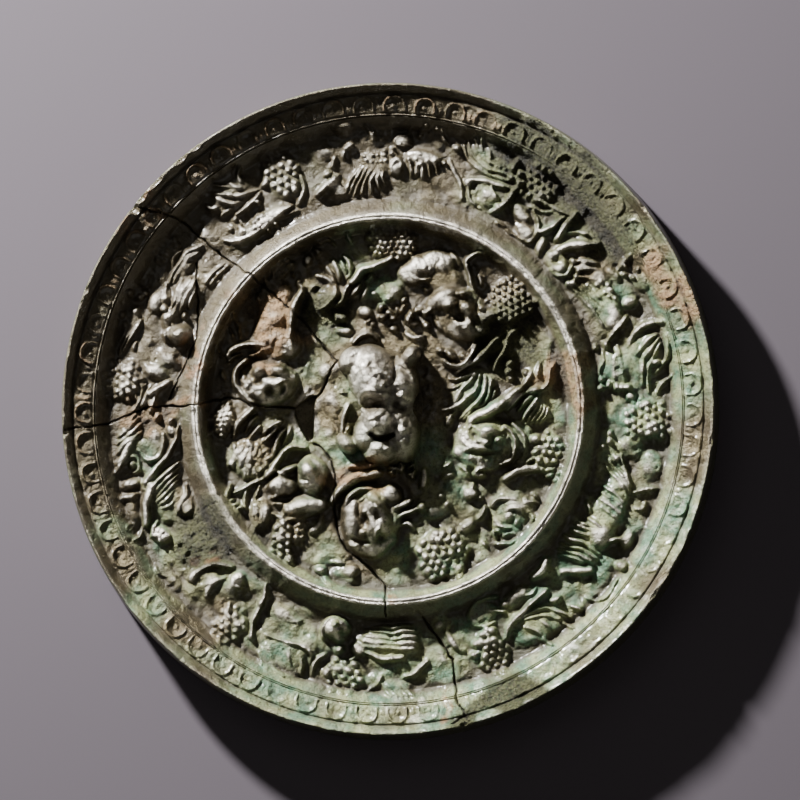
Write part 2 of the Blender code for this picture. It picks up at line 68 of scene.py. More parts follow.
# %% [markdown]
# ## Measures
#
# A mirror like this is turned work with modelled figures set on it, so it is measured as a turner would:
# every circle by its radius and every step by its height above the table, in millimetres.
# The radii follow the size of the solid model, so that the two always agree.

# %% Name the measures
MM = 0.001
RADIUS = (CAD_HIGH.x - CAD_LOW.x) / 2 / MM
SIDE_SLANT = 1.3
CREST_RADIUS = RADIUS - SIDE_SLANT
CREST_HEIGHT = 12.0
BAND_OUTER = CREST_RADIUS - 1.7
BAND_INNER = BAND_OUTER - 4.4
BAND_OUTER_HEIGHT = 10.3
BAND_INNER_HEIGHT = 9.0
SLOPE_FOOT = BAND_INNER - 3.0
OUTER_GROUND = 5.5
INNER_GROUND = 5.0
RING_CREST = 40.9
RING_HEIGHT = 9.1
RING_CREST_HALF = 0.55
RING_FOOT_INNER = 37.95
RING_FOOT_OUTER = 45.05
LINE_DEPTH = 0.3
FOOT_ROUND = 0.6

PROFILE = [
    (0.0, INNER_GROUND), (RING_FOOT_INNER, INNER_GROUND),
    (RING_CREST - RING_CREST_HALF, RING_HEIGHT), (RING_CREST - 0.3, RING_HEIGHT + 0.05),
    (RING_CREST, RING_HEIGHT - LINE_DEPTH), (RING_CREST + 0.3, RING_HEIGHT + 0.05),
    (RING_CREST + RING_CREST_HALF, RING_HEIGHT), (RING_FOOT_OUTER, OUTER_GROUND),
    (SLOPE_FOOT, OUTER_GROUND), (BAND_INNER - 0.4, BAND_INNER_HEIGHT - 0.3),
    (BAND_INNER - 0.2, BAND_INNER_HEIGHT - 0.45), (BAND_INNER, BAND_INNER_HEIGHT),
    (BAND_INNER + 0.25, BAND_INNER_HEIGHT - 0.2), (BAND_INNER + 0.5, BAND_INNER_HEIGHT + 0.1),
    (BAND_OUTER - 0.4, BAND_OUTER_HEIGHT), (BAND_OUTER, BAND_OUTER_HEIGHT - LINE_DEPTH),
    (BAND_OUTER + 0.4, BAND_OUTER_HEIGHT + 0.4), (CREST_RADIUS - 0.25, CREST_HEIGHT - 0.1),
    (CREST_RADIUS, CREST_HEIGHT),
]


def profile_height(radius):
    """Height of the turned back at a distance from the middle, before any figure is set on it."""
    radii, heights = zip(*PROFILE)
    return np.interp(radius, radii, heights)


print("rim crest, mm:", CREST_RADIUS, "scroll band, mm:", BAND_INNER, "to", BAND_OUTER)

# %% [markdown]
# ## A table of heights for the modelled wax
#
# On the real mirror the figures were pressed and carved in clay or wax before casting, so no figure has an
# edge underneath: each one swells out of the ground. That is a height above the turned back at every point,
# and an array of heights is the natural way to hold it. Mounds, ridges and grooves are heaped on it the way
# a modeller adds pellets and rolls of wax: where two meet, they flow together in a small fillet.

# %% Heap mounds and ridges on a table of heights
PITCH = 0.14
HALF = RADIUS + 0.6


def curve(points, steps=6):
    """A smooth line through the given points."""
    p = np.array(points, float)
    if len(p) < 3:
        return p
    p = np.vstack([2 * p[0] - p[1], p, 2 * p[-1] - p[-2]])
    line = []
    for a, b, c, d in zip(p[:-3], p[1:-2], p[2:-1], p[3:]):
        for t in np.linspace(0, 1, steps, endpoint=False):
            line.append(0.5 * (2 * b + (c - a) * t + (2 * a - 5 * b + 4 * c - d) * t * t
                               + (3 * b - a - 3 * c + d) * t ** 3))
    return np.array(line + [p[-2]])


class Wax:
    """Heights above the turned back, with the ways in which a modeller adds to them."""

    def __init__(self):
        count = int(2 * HALF / PITCH) + 1
        self.axis = np.linspace(-HALF, HALF, count)
        self.step = self.axis[1] - self.axis[0]
        self.x, self.y = np.meshgrid(self.axis, self.axis)
        self.lift = np.zeros_like(self.x)

    def window(self, xs, ys, reach):
        first = [max(0, int((min(c) - reach + HALF) / self.step)) for c in (ys, xs)]
        last = [int((max(c) + reach + HALF) / self.step) + 2 for c in (ys, xs)]
        return slice(first[0], last[0]), slice(first[1], last[1])

    def local(self, x, y, a, b, turn, reach):
        win = self.window([x], [y], max(a, b) * reach)
        dx, dy = self.x[win] - x, self.y[win] - y
        c, s = cos(radians(turn)), sin(radians(turn))
        return win, (dx * c + dy * s) / a, (-dx * s + dy * c) / b

    def heap(self, win, bulge, rise, power, fillet):
        top = np.where(bulge > 0, np.maximum(bulge, 0) ** power, bulge) * rise
        there = self.lift[win]
        both = (there + top + np.sqrt((there - top) ** 2 + fillet ** 2) - fillet) / 2
        self.lift[win] = np.where(bulge > -1.2, both, there)

    def boss(self, x, y, a, b=None, turn=0, rise=2.0, power=0.5, fillet=0.3):
        """Mound with half axes a and b that stands up from the ground."""
        win, u, v = self.local(x, y, a, b or a, turn, 1.5)
        self.heap(win, 1 - u * u - v * v, rise, power, fillet)

    def swell(self, x, y, a, b=None, turn=0, rise=0.5):
        """Soft rise, or a hollow where rise is negative, laid over what is there."""
        win, u, v = self.local(x, y, a, b or a, turn, 2.2)
        self.lift[win] += rise * np.exp(-1.2 * (u * u + v * v))

    def add(self, x, y, a, b=None, turn=0, rise=0.5):
        """Round bead laid over what is there."""
        win, u, v = self.local(x, y, a, b or a, turn, 1.0)
        self.lift[win] += rise * np.maximum(1 - u * u - v * v, 0) ** 0.7

    def near(self, line, win):
        """Distance to a line, and how far along it the nearest point is."""
        X, Y = self.x[win], self.y[win]
        lengths = np.hypot(*np.diff(line, axis=0).T)
        best, along, run = np.full(X.shape, 1e9), np.zeros(X.shape), 0.0
        for (ax, ay), (bx, by), length in zip(line[:-1], line[1:], lengths):
            if length > 1e-9:
                t = np.clip(((X - ax) * (bx - ax) + (Y - ay) * (by - ay)) / length ** 2, 0, 1)
                d = np.hypot(X - ax - t * (bx - ax), Y - ay - t * (by - ay))
                closer = d < best
                best = np.where(closer, d, best)
                along = np.where(closer, (run + t * length) / lengths.sum(), along)
                run += length
        return best, along

    def ridge(self, points, width, rise, ends=(0.7, 0.5), belly=0.3, power=0.5, fillet=0.25):
        """Roll of wax along a line, that tapers towards its ends."""
        line = curve(points)
        win = self.window(line[:, 0], line[:, 1], width)
        away, s = self.near(line, win)
        half = width / 2 * (ends[0] + (ends[1] - ends[0]) * s + belly * np.sin(pi * s))
        self.heap(win, 1 - (away / half) ** 2, rise * np.minimum(half / (width / 2), 1) ** 0.5, power, fillet)

    def over(self, points, width, rise, ends=(0.8, 0.5)):
        """Thin roll, or a cut where rise is negative, laid over what is there."""
        line = curve(points)
        win = self.window(line[:, 0], line[:, 1], width)
        away, s = self.near(line, win)
        half = width / 2 * (ends[0] + (ends[1] - ends[0]) * s + 0.3 * np.sin(pi * s))
        self.lift[win] += rise * np.maximum(1 - (away / half) ** 2, 0)

    def grapes(self, x, y, a, b, turn=0, rise=2.4, grape=0.75, pitch=1.45, seed=1):
        """Bunch of grapes: a low mound packed with round berries in staggered rows."""
        rng = np.random.default_rng(seed)
        self.boss(x, y, a, b, turn, rise * 0.8, power=0.6)
        c, s = cos(radians(turn)), sin(radians(turn))
        rows = int(b / (pitch * 0.866)) + 1
        for j in range(-rows, rows + 1):
            for i in range(-12, 13):
                u = (i + 0.5 * (j % 2)) * pitch + rng.uniform(-0.12, 0.12)
                v = j * pitch * 0.866 + rng.uniform(-0.12, 0.12)
                inside = 1 - (u / a) ** 2 - (v / b) ** 2
                if inside > 0.05:
                    size = grape * rng.uniform(0.88, 1.08)
                    top = rise * (0.8 * inside ** 0.45 + 0.28) + 0.15
                    self.boss(x + u * c - v * s, y + u * s + v * c, size, size, 0, top, fillet=0.08)


def round_the_ring(strokes):
    """Turns points given as (degrees, millimetres from the middle) into flat ones."""
    return [(r * cos(radians(a)), r * sin(radians(a))) for a, r in strokes]


wax = Wax()
print("table of heights:", wax.lift.shape, "at", round(wax.step, 3), "mm")

# %% [markdown]
# ## Five lions in the inner field
#
# Each lion crouches with its head turned to the viewer: a round head with a deep brow, small sunk eyes and
# beads of mane, and a body and paws that run off under the vines. They could be sculpted with brushes, but
# a likeness like this one is easier to correct when every mound is a line of text: middle, half axes, turn
# and rise.

# %% Model the lions
def lion_left(r):
    """Lion beside the ring on the left: head down, body up to the broken edge."""
    r.boss(-24.6, 17.4, 9.0, 4.3, 72, 2.9, power=1.0)
    for x, y, size in ((-26.4, 21.4, 1.8), (-24.0, 19.2, 1.6), (-26.6, 17.6, 2.0), (-23.6, 16.0, 1.5),
                       (-26.0, 14.6, 1.4), (-22.6, 22.6, 1.3)):
        r.add(x, y, size, 0.8 * size, 40, 0.6)
    r.boss(-23.2, 14.2, 5.0, 4.6, 30, 3.3, power=0.6)
    r.boss(-24.0, 23.6, 5.0, 3.6, 100, 2.2, power=0.6)
    r.ridge([(-18.6, 25.0), (-19.8, 22.8), (-20.7, 20.2), (-20.8, 16.5), (-20.6, 12.6)], 2.3, 4.0)
    for y in (18.4, 15.8):
        r.add(-21.0, y, 0.8, 0.9, 0, 0.5)
    for x, y in ((-19.0, 27.1), (-18.7, 26.4), (-18.3, 25.9)):
        r.boss(x, y, 0.45, 0.4, 0, 3.4, fillet=0.1)
    r.ridge([(-34.4, 11.4), (-33.4, 12.7), (-31.6, 13.7), (-28.6, 14.0), (-26.0, 13.4)], 1.5, 2.9)
    r.ridge([(-34.2, 10.3), (-33.0, 11.2), (-31.6, 12.0)], 0.8, 1.8)
    r.ridge([(-29.6, 11.6), (-28.0, 11.8), (-26.8, 12.6)], 0.9, 2.9)
    r.boss(-26.0, 5.7, 6.7, 5.1, 8, 3.9, power=0.42)
    r.boss(-25.5, 6.3, 5.6, 4.1, 8, 4.8, power=0.5)
    r.ridge([(-30.4, 10.6), (-32.2, 8.4), (-32.4, 5.6), (-31.2, 3.0), (-28.8, 1.4)], 1.3, 3.3, (0.8, 0.8))
    r.boss(-27.4, 8.1, 2.2, 1.9, 20, 5.6)
    r.boss(-23.6, 8.4, 2.4, 1.6, 0, 5.2)
    for x, y, d in ((-28.2, 9.6, 0.8), (-25.6, 9.3, 0.7), (-24.4, 9.6, 0.6), (-22.8, 10.2, 0.55),
                    (-21.9, 9.6, 0.5), (-20.6, 9.3, 0.5), (-29.4, 5.7, 0.6), (-30.2, 4.6, 0.55),
                    (-30.9, 7.6, 0.6), (-29.0, 3.4, 0.6), (-27.0, 3.3, 0.6), (-26.2, 6.2, 0.7),
                    (-19.9, 8.2, 0.6), (-20.4, 6.6, 0.6), (-22.1, 8.6, 0.6)):
        r.add(x, y, d, d * 0.85, 30, 0.55)
    r.over([(-30.6, 8.6), (-29.8, 7.0), (-30.4, 6.0)], 0.7, -0.6)
    r.over([(-29.6, 4.6), (-28.8, 2.6), (-27.2, 1.8)], 0.8, -0.5)
    r.swell(-27.6, 5.6, 1.0, 0.7, 0, -0.8)
    r.swell(-25.4, 4.0, 0.9, 0.8, 0, -1.5)
    r.add(-24.9, 4.1, 0.35, 0.35, 0, 0.5)
    r.swell(-24.0, 7.0, 1.2, 0.5, 0, -0.6)
    r.over([(-23.9, 4.9), (-22.8, 5.8), (-20.8, 6.6)], 0.7, 0.6)
    r.over([(-22.6, 3.0), (-21.8, 3.6), (-21.6, 4.9)], 0.7, 0.8)
    r.over([(-22.6, 5.2), (-22.4, 4.2), (-23.0, 3.2)], 0.8, -0.8)
    r.over([(-25.2, 7.6), (-24.4, 8.6)], 0.5, -0.5)
    for x, y, d in ((-26.1, 27.8, 0.8), (-27.6, 24.0, 0.7), (-25.3, 22.8, 0.5), (-22.6, 31.1, 0.7),
                    (-20.7, 31.3, 0.8), (-20.2, 28.7, 0.5), (-28.6, 25.4, 0.5), (-23.0, 27.6, 0.4),
                    (-26.8, 25.6, 0.5)):
        r.boss(x, y, d, d * 0.7, 110, 2.3, fillet=0.1)
    r.ridge([(-27.6, 27.0), (-27.2, 28.4), (-26.0, 29.2)], 0.7, 2.4)
    r.ridge([(-24.8, 30.4), (-24.6, 29.2), (-24.9, 28.4)], 0.8, 2.4)
    r.ridge([(-32.7, 20.2), (-32.6, 19.2), (-32.2, 18.0)], 0.7, 2.0)
    r.ridge([(-34.0, 17.2), (-33.4, 16.4), (-33.2, 15.6)], 0.7, 2.0)
    r.ridge([(-31.9, 18.6), (-31.8, 17.0), (-31.4, 15.0)], 0.7, 1.6)
    r.ridge([(-36.6, 14.2), (-36.4, 12.4), (-35.6, 11.2)], 0.8, 2.0)
    r.ridge([(-35.6, 8.4), (-35.2, 7.2), (-34.4, 6.6)], 0.8, 1.6)


def lion_upper(r):
    """Lion at the upper right: haunch on the left, head down to the right."""
    r.boss(7.2, 30.4, 5.6, 3.2, 22, 3.6, power=0.5)
    r.boss(11.0, 31.0, 3.4, 3.2, 0, 3.0, power=0.5)
    r.boss(11.5, 27.6, 5.0, 3.6, -40, 2.4, power=0.6)
    for k in range(9):
        x, y = 4.2 + 0.95 * k, 29.7 + 0.36 * k
        r.over([(x - 0.7, y + 1.6), (x, y + 0.2), (x + 0.5, y - 1.4)], 0.42, -0.32)
    r.ridge([(3.4, 29.0), (5.4, 27.9), (7.6, 27.4), (9.6, 27.6)], 1.0, 2.8)
    r.ridge([(7.0, 26.2), (7.8, 25.6), (8.6, 25.9)], 0.8, 1.8)
    r.boss(16.2, 20.2, 6.4, 5.4, 130, 3.8, power=0.42)
    r.boss(11.6, 23.5, 4.2, 2.6, 28, 4.6, power=0.5)
    r.boss(13.2, 22.2, 2.4, 1.5, 30, 5.2)
    r.boss(15.8, 24.4, 1.9, 1.2, 10, 4.6)
    r.boss(16.4, 21.4, 2.1, 1.9, 0, 5.0)
    r.add(16.6, 21.8, 1.15, 1.05, 0, 0.7)
    r.swell(16.7, 21.8, 0.45, 0.45, 0, -0.7)
    r.boss(19.8, 21.3, 1.2, 1.2, 0, 4.6)
    r.over([(18.8, 22.8), (19.6, 22.9), (20.4, 22.6)], 0.7, 0.7)
    r.swell(15.0, 19.4, 0.9, 0.8, 0, -1.4)
    r.swell(18.2, 18.6, 1.0, 0.8, 0, -0.8)
    for x, y, d in ((13.9, 20.6, 0.7), (14.0, 19.1, 0.6), (17.0, 18.4, 0.7), (16.2, 17.2, 0.6),
                    (18.2, 20.0, 0.5), (14.8, 17.6, 0.6), (20.6, 19.2, 0.9), (22.0, 20.4, 0.6),
                    (12.6, 19.8, 0.6)):
        r.add(x, y, d, d * 0.8, 40, 0.5)
    r.boss(20.8, 19.6, 2.6, 2.0, 20, 3.8)
    r.over([(14.8, 23.6), (16.4, 23.9), (17.8, 23.2)], 0.8, -0.6)
    r.over([(19.2, 24.4), (18.6, 22.0), (18.8, 20.0)], 0.6, -0.6)
    r.ridge([(9.8, 20.6), (11.0, 18.0), (12.6, 16.2)], 1.6, 2.0)
    r.ridge([(16.7, 32.2), (16.4, 31.0), (16.7, 29.0), (17.4, 27.0), (18.4, 25.2)], 1.15, 3.0)
    r.ridge([(16.8, 31.8), (18.0, 32.9), (20.0, 33.2), (22.8, 32.9)], 1.1, 2.6)
    r.ridge([(19.3, 28.6), (19.8, 27.8), (19.9, 26.6)], 0.8, 2.2)
    r.ridge([(15.0, 35.0), (16.8, 35.8), (18.8, 36.2)], 0.9, 1.6)
    r.ridge([(17.4, 33.4), (19.0, 34.4), (20.6, 34.4)], 0.8, 1.4)
    r.ridge([(22.0, 31.8), (23.6, 31.0), (25.4, 30.4)], 1.0, 1.5)
    r.ridge([(13.4, 33.4), (14.6, 32.0), (15.2, 30.2)], 1.1, 1.6)
    r.grapes(26.0, 23.4, 5.3, 4.9, 30, 3.0, seed=2)


def lion_right(r):
    """Lion on the right: head to the left, forelegs up, mane behind."""
    r.boss(27.8, -7.6, 3.4, 5.6, 0, 2.6, power=0.5)
    r.boss(20.6, -7.2, 7.2, 5.9, 0, 3.9, power=0.42)
    r.boss(20.6, -6.6, 5.6, 4.4, 0, 4.7, power=0.5)
    r.boss(21.2, -4.7, 2.9, 1.9, 12, 5.7)
    r.boss(23.5, -6.6, 1.5, 1.3, 0, 5.6)
    r.boss(20.8, -7.0, 1.4, 1.1, 0, 5.4)
    r.swell(17.9, -5.4, 1.0, 1.1, 20, -1.7)
    r.over([(16.6, -3.9), (18.0, -3.4), (19.2, -4.2)], 0.8, 0.7)
    r.add(18.4, -6.7, 0.5, 0.4, 30, 0.6)
    r.over([(15.2, -6.4), (15.8, -7.4), (16.8, -8.2)], 0.9, 0.8)
    r.over([(14.5, -4.8), (14.9, -3.8), (15.9, -3.4)], 0.8, 0.5)
    r.over([(19.2, -8.3), (20.6, -8.2), (22.0, -8.6)], 0.8, 0.6)
    r.over([(19.0, -7.2), (20.4, -8.0), (21.8, -7.6), (22.4, -6.2)], 0.7, -0.6)
    r.over([(17.2, -9.4), (20.0, -9.6), (23.0, -9.2)], 1.0, -0.8)
    r.over([(16.2, -9.0), (17.4, -8.4)], 0.8, 0.6)
    for x, y, d in ((23.4, -4.6, 0.5), (24.3, -4.4, 0.5), (24.6, -5.4, 0.5), (25.4, -4.6, 0.6),
                    (25.3, -5.8, 0.5), (24.6, -7.8, 0.5), (24.4, -9.2, 0.5), (23.0, -10.2, 0.5),
                    (21.0, -10.6, 0.5), (16.4, -6.2, 0.5), (15.6, -5.2, 0.5), (19.4, -10.6, 0.5),
                    (17.6, -10.6, 0.5)):
        r.add(x, y, d, d * 0.85, 30, 0.5)
    r.ridge([(24.8, -3.6), (26.4, -5.4), (26.8, -8.0), (25.8, -10.4), (23.6, -11.8)], 1.2, 4.2, (0.8, 0.6))
    r.ridge([(26.2, -3.0), (28.4, -5.2), (29.2, -8.0), (28.2, -11.0)], 1.2, 3.0, (0.8, 0.6))
    r.over([(24.6, -10.9), (25.6, -10.0), (26.2, -9.4)], 0.5, 0.6)
    r.ridge([(17.6, -2.6), (20.6, -0.8), (24.0, 1.4), (26.2, 3.1), (28.0, 4.4)], 3.1, 3.8, (0.8, 0.6))
    r.boss(23.8, 1.3, 1.6, 1.2, 40, 4.5)
    r.ridge([(25.0, -0.2), (26.6, 1.6), (29.2, 3.2)], 1.5, 2.8)
    r.ridge([(27.6, -0.2), (28.8, 1.2), (30.6, 2.6)], 0.9, 2.2)
    r.ridge([(28.4, -2.0), (30.0, 0.4), (31.8, 2.8)], 0.75, 2.6)
    for k in range(4):
        r.ridge([(29.0 + k, -2.8), (30.2 + k, -1.0 - 0.2 * k), (31.4 + 0.8 * k, 1.6 - 0.4 * k)], 0.6, 1.7)
    r.boss(31.0, 4.0, 1.6, 0.9, 25, 3.0)
    r.ridge([(32.4, 4.4), (33.6, 6.0), (34.2, 8.4), (35.2, 10.0)], 1.0, 2.2)
    r.ridge([(28.6, 5.0), (29.6, 7.0), (30.6, 8.0)], 1.0, 1.6)
    r.boss(29.2, 7.9, 0.7, 0.6, 0, 2.2)
    r.ridge([(31.6, 7.2), (32.0, 8.8), (32.2, 10.4)], 0.8, 1.6)
    r.ridge([(25.0, -14.4), (27.2, -13.2), (30.0, -12.4), (33.0, -12.2)], 2.3, 2.4, (0.7, 0.6))
    r.ridge([(29.2, -11.2), (30.4, -10.6), (31.6, -10.6)], 0.9, 2.8)
    r.boss(31.0, -6.2, 1.2, 1.5, 0, 3.0)
    r.boss(32.2, -8.4, 1.4, 1.2, 0, 2.8)
    r.grapes(34.6, -9.4, 3.9, 4.6, 0, 2.6, 0.85, 1.7, seed=3)
    r.grapes(35.2, -12.4, 2.2, 2.6, 0, 2.2, 0.7, 1.4, seed=5)


def fan_leaf(r):
    """Long-veined leaf between the knob and the right lion, with the vine that curls over it."""
    r.boss(17.6, 3.4, 6.4, 4.2, 60, 1.3, power=0.5)
    r.ridge([(18.2, 7.6), (16.2, 6.7), (13.4, 6.6)], 1.0, 2.4)
    r.ridge([(16.4, 5.6), (14.8, 5.0), (12.6, 4.6)], 0.9, 1.9)
    r.ridge([(18.6, 7.6), (17.0, 5.4), (15.4, 3.6), (14.3, 1.8)], 0.95, 2.5)
    r.ridge([(19.6, 7.4), (18.6, 4.4), (16.8, 2.4), (14.8, 1.0), (11.7, 0.1)], 1.1, 2.7)
    r.ridge([(20.6, 6.8), (20.0, 3.6), (18.8, 1.4), (16.8, -0.4), (15.0, -1.8)], 1.2, 2.7)
    r.ridge([(21.6, 6.2), (21.2, 3.2), (20.2, 1.4), (18.6, 0.2)], 1.0, 2.5)
    r.ridge([(22.6, 4.6), (22.0, 2.6), (21.0, 1.0)], 0.8, 2.0)
    r.ridge([(17.8, 0.6), (17.2, -1.0), (15.6, -2.2)], 1.0, 2.4)
    r.ridge([(14.2, -0.2), (13.2, -1.4), (12.2, -3.4)], 0.7, 2.0)
    r.ridge([(13.8, -1.6), (13.0, -2.6), (12.8, -3.6)], 0.5, 1.8)
    r.ridge([(11.8, 10.2), (13.4, 9.4), (15.6, 9.8), (17.2, 11.2), (18.8, 13.6)], 1.7, 3.6)
    r.ridge([(14.6, 8.2), (16.2, 9.0), (18.6, 10.6), (20.6, 12.6), (22.8, 15.0)], 1.5, 2.8)
    r.boss(11.1, 12.2, 0.9, 0.8, 0, 3.0)
    r.boss(13.0, 11.7, 1.2, 0.9, 120, 3.4)
    r.boss(15.6, 11.5, 0.9, 0.7, 0, 2.8)
    r.ridge([(17.0, 12.6), (18.0, 13.6), (18.4, 14.6)], 0.7, 2.8)
    r.ridge([(22.4, 8.4), (23.0, 10.2), (24.4, 12.2), (25.2, 14.4)], 1.0, 2.7)
    r.boss(25.8, 9.7, 0.95, 0.75, 20, 2.9)
    r.boss(25.5, 8.1, 1.0, 0.8, 0, 2.8)
    r.boss(25.9, 6.9, 0.9, 0.6, 0, 2.0)
    r.ridge([(24.6, 14.6), (26.0, 16.2), (27.6, 17.4)], 1.0, 1.6)


def lion_lower_left(r):
    """Lion at the lower left: round head, haunch below, a vine that arches over."""
    r.ridge([(-26.2, -14.4), (-24.7, -12.9), (-23.7, -10.6), (-22.2, -8.8), (-20.0, -7.9), (-17.6, -7.9)],
            1.7, 3.4)
    r.boss(-16.4, -14.0, 3.5, 4.5, 0, 4.2, power=0.42)
    r.boss(-17.0, -12.8, 2.5, 2.7, 30, 5.3)
    r.over([(-16.2, -13.6), (-15.4, -14.4), (-15.6, -15.6)], 0.6, 0.5)
    for x, y, d in ((-18.6, -15.6, 0.5), (-17.4, -15.4, 0.5), (-16.4, -15.8, 0.4), (-18.4, -16.6, 0.4),
                    (-15.2, -14.0, 0.5), (-14.6, -16.2, 0.5), (-16.9, -17.0, 0.4)):
        r.add(x, y, d, d * 0.8, 20, 0.5)
    r.swell(-17.9, -14.9, 0.9, 0.5, 0, -0.7)
    r.swell(-14.3, -13.0, 0.8, 1.4, 0, -0.5)
    r.ridge([(-22.4, -13.2), (-21.2, -12.8), (-19.8, -12.0)], 1.5, 3.6)
    r.ridge([(-24.4, -12.6), (-23.2, -13.4), (-21.6, -14.0)], 1.2, 2.6)
    r.boss(-23.2, -16.0, 2.4, 2.3, 0, 3.0)
    r.boss(-21.2, -16.4, 2.0, 1.7, 0, 2.2)
    r.boss(-17.6, -20.4, 5.2, 2.4, 8, 3.2, power=0.5)
    r.boss(-18.4, -20.6, 2.6, 1.4, 8, 3.7)
    r.ridge([(-25.0, -18.6), (-23.8, -18.2), (-22.6, -17.6)], 0.8, 2.2)
    r.ridge([(-24.4, -19.8), (-22.6, -19.8), (-21.0, -20.4)], 1.1, 1.7)
    r.ridge([(-24.6, -22.2), (-21.6, -23.2), (-17.8, -22.8), (-14.6, -21.6)], 1.5, 1.9)
    r.ridge([(-14.4, -22.6), (-15.0, -24.4), (-16.6, -26.0)], 1.4, 1.3)
    r.grapes(-22.9, -27.6, 5.2, 2.3, 84, 2.9, 0.95, 1.65, seed=6)
    r.boss(-21.2, -31.8, 1.1, 1.5, 30, 2.6)
    r.grapes(-19.2, -26.0, 3.0, 1.6, 70, 1.6, 0.6, 1.3, seed=7)
    r.boss(-27.6, -22.2, 2.7, 3.9, -8, 1.7)
    r.over([(-28.9, -20.4), (-29.0, -22.6), (-28.0, -25.0)], 0.7, 0.6)
    r.over([(-27.4, -19.6), (-27.6, -22.0), (-27.2, -24.8)], 0.7, -0.6)
    r.over([(-26.2, -20.6), (-26.0, -22.6), (-26.4, -24.2)], 0.7, 0.5)
    r.ridge([(-33.7, -15.8), (-34.1, -17.0), (-34.3, -18.4)], 1.0, 2.6)
    for x, y, d in ((-33.2, -19.0, 0.6), (-32.4, -20.0, 0.7), (-31.6, -20.8, 0.7), (-33.4, -20.2, 0.5)):
        r.boss(x, y, d, d * 0.7, 30, 2.0, fillet=0.1)
    r.ridge([(-26.8, -14.8), (-29.0, -15.4), (-31.0, -16.6), (-33.0, -17.4)], 1.2, 1.9)
    r.ridge([(-27.4, -16.0), (-28.0, -18.0), (-28.4, -19.4)], 1.0, 1.6)
    r.ridge([(-30.2, -17.2), (-30.6, -19.4), (-30.4, -21.4)], 1.0, 1.4)


def left_leaf(r):
    """Leaf of many small curling strokes below the left lion, and the bunch at the ring."""
    r.ridge([(-28.6, 0.6), (-30.6, -1.2), (-32.2, -3.2), (-33.0, -5.6)], 1.5, 2.6)
    r.ridge([(-28.2, -1.2), (-29.4, -2.6), (-30.4, -4.6)], 1.0, 1.7)
    r.ridge([(-22.9, -2.4), (-24.8, -3.6), (-26.6, -5.0)], 1.3, 3.0)
    r.ridge([(-23.6, -4.0), (-24.8, -5.4), (-26.6, -6.6)], 1.0, 2.3)
    r.ridge([(-22.4, -4.4), (-23.6, -6.2), (-24.4, -8.6), (-25.0, -10.4)], 1.2, 2.2)
    r.ridge([(-21.0, -4.0), (-21.8, -5.8), (-22.4, -7.2)], 0.9, 1.5)
    r.ridge([(-27.6, -3.4), (-28.8, -4.6), (-29.8, -6.4)], 0.9, 1.6)
    r.ridge([(-25.4, -8.0), (-26.4, -8.8), (-26.9, -10.2)], 0.8, 1.8)
    rng = np.random.default_rng(11)
    for k in range(46):
        x, y = rng.uniform(-34.2, -25.4), rng.uniform(-14.6, -5.8)
        if (x + 29.8) ** 2 / 22 + (y + 10.2) ** 2 / 20 < 1:
            a = radians(rng.uniform(60, 110))
            d = rng.uniform(0.5, 1.0)
            r.ridge([(x - d * cos(a), y - d * sin(a)), (x + 0.2, y), (x + d * cos(a), y + d * sin(a))],
                    rng.uniform(0.55, 0.95), rng.uniform(1.5, 2.4), fillet=0.1)
    r.boss(-29.8, -10.2, 4.6, 4.4, 0, 1.4)
    r.grapes(-35.2, -2.0, 2.6, 3.6, 0, 2.4, 0.6, 1.25, seed=8)
    r.ridge([(-38.2, -5.0), (-37.2, -4.0), (-36.2, -3.6)], 0.9, 1.8)
    r.boss(-35.4, -5.2, 0.7, 0.6, 0, 2.0)


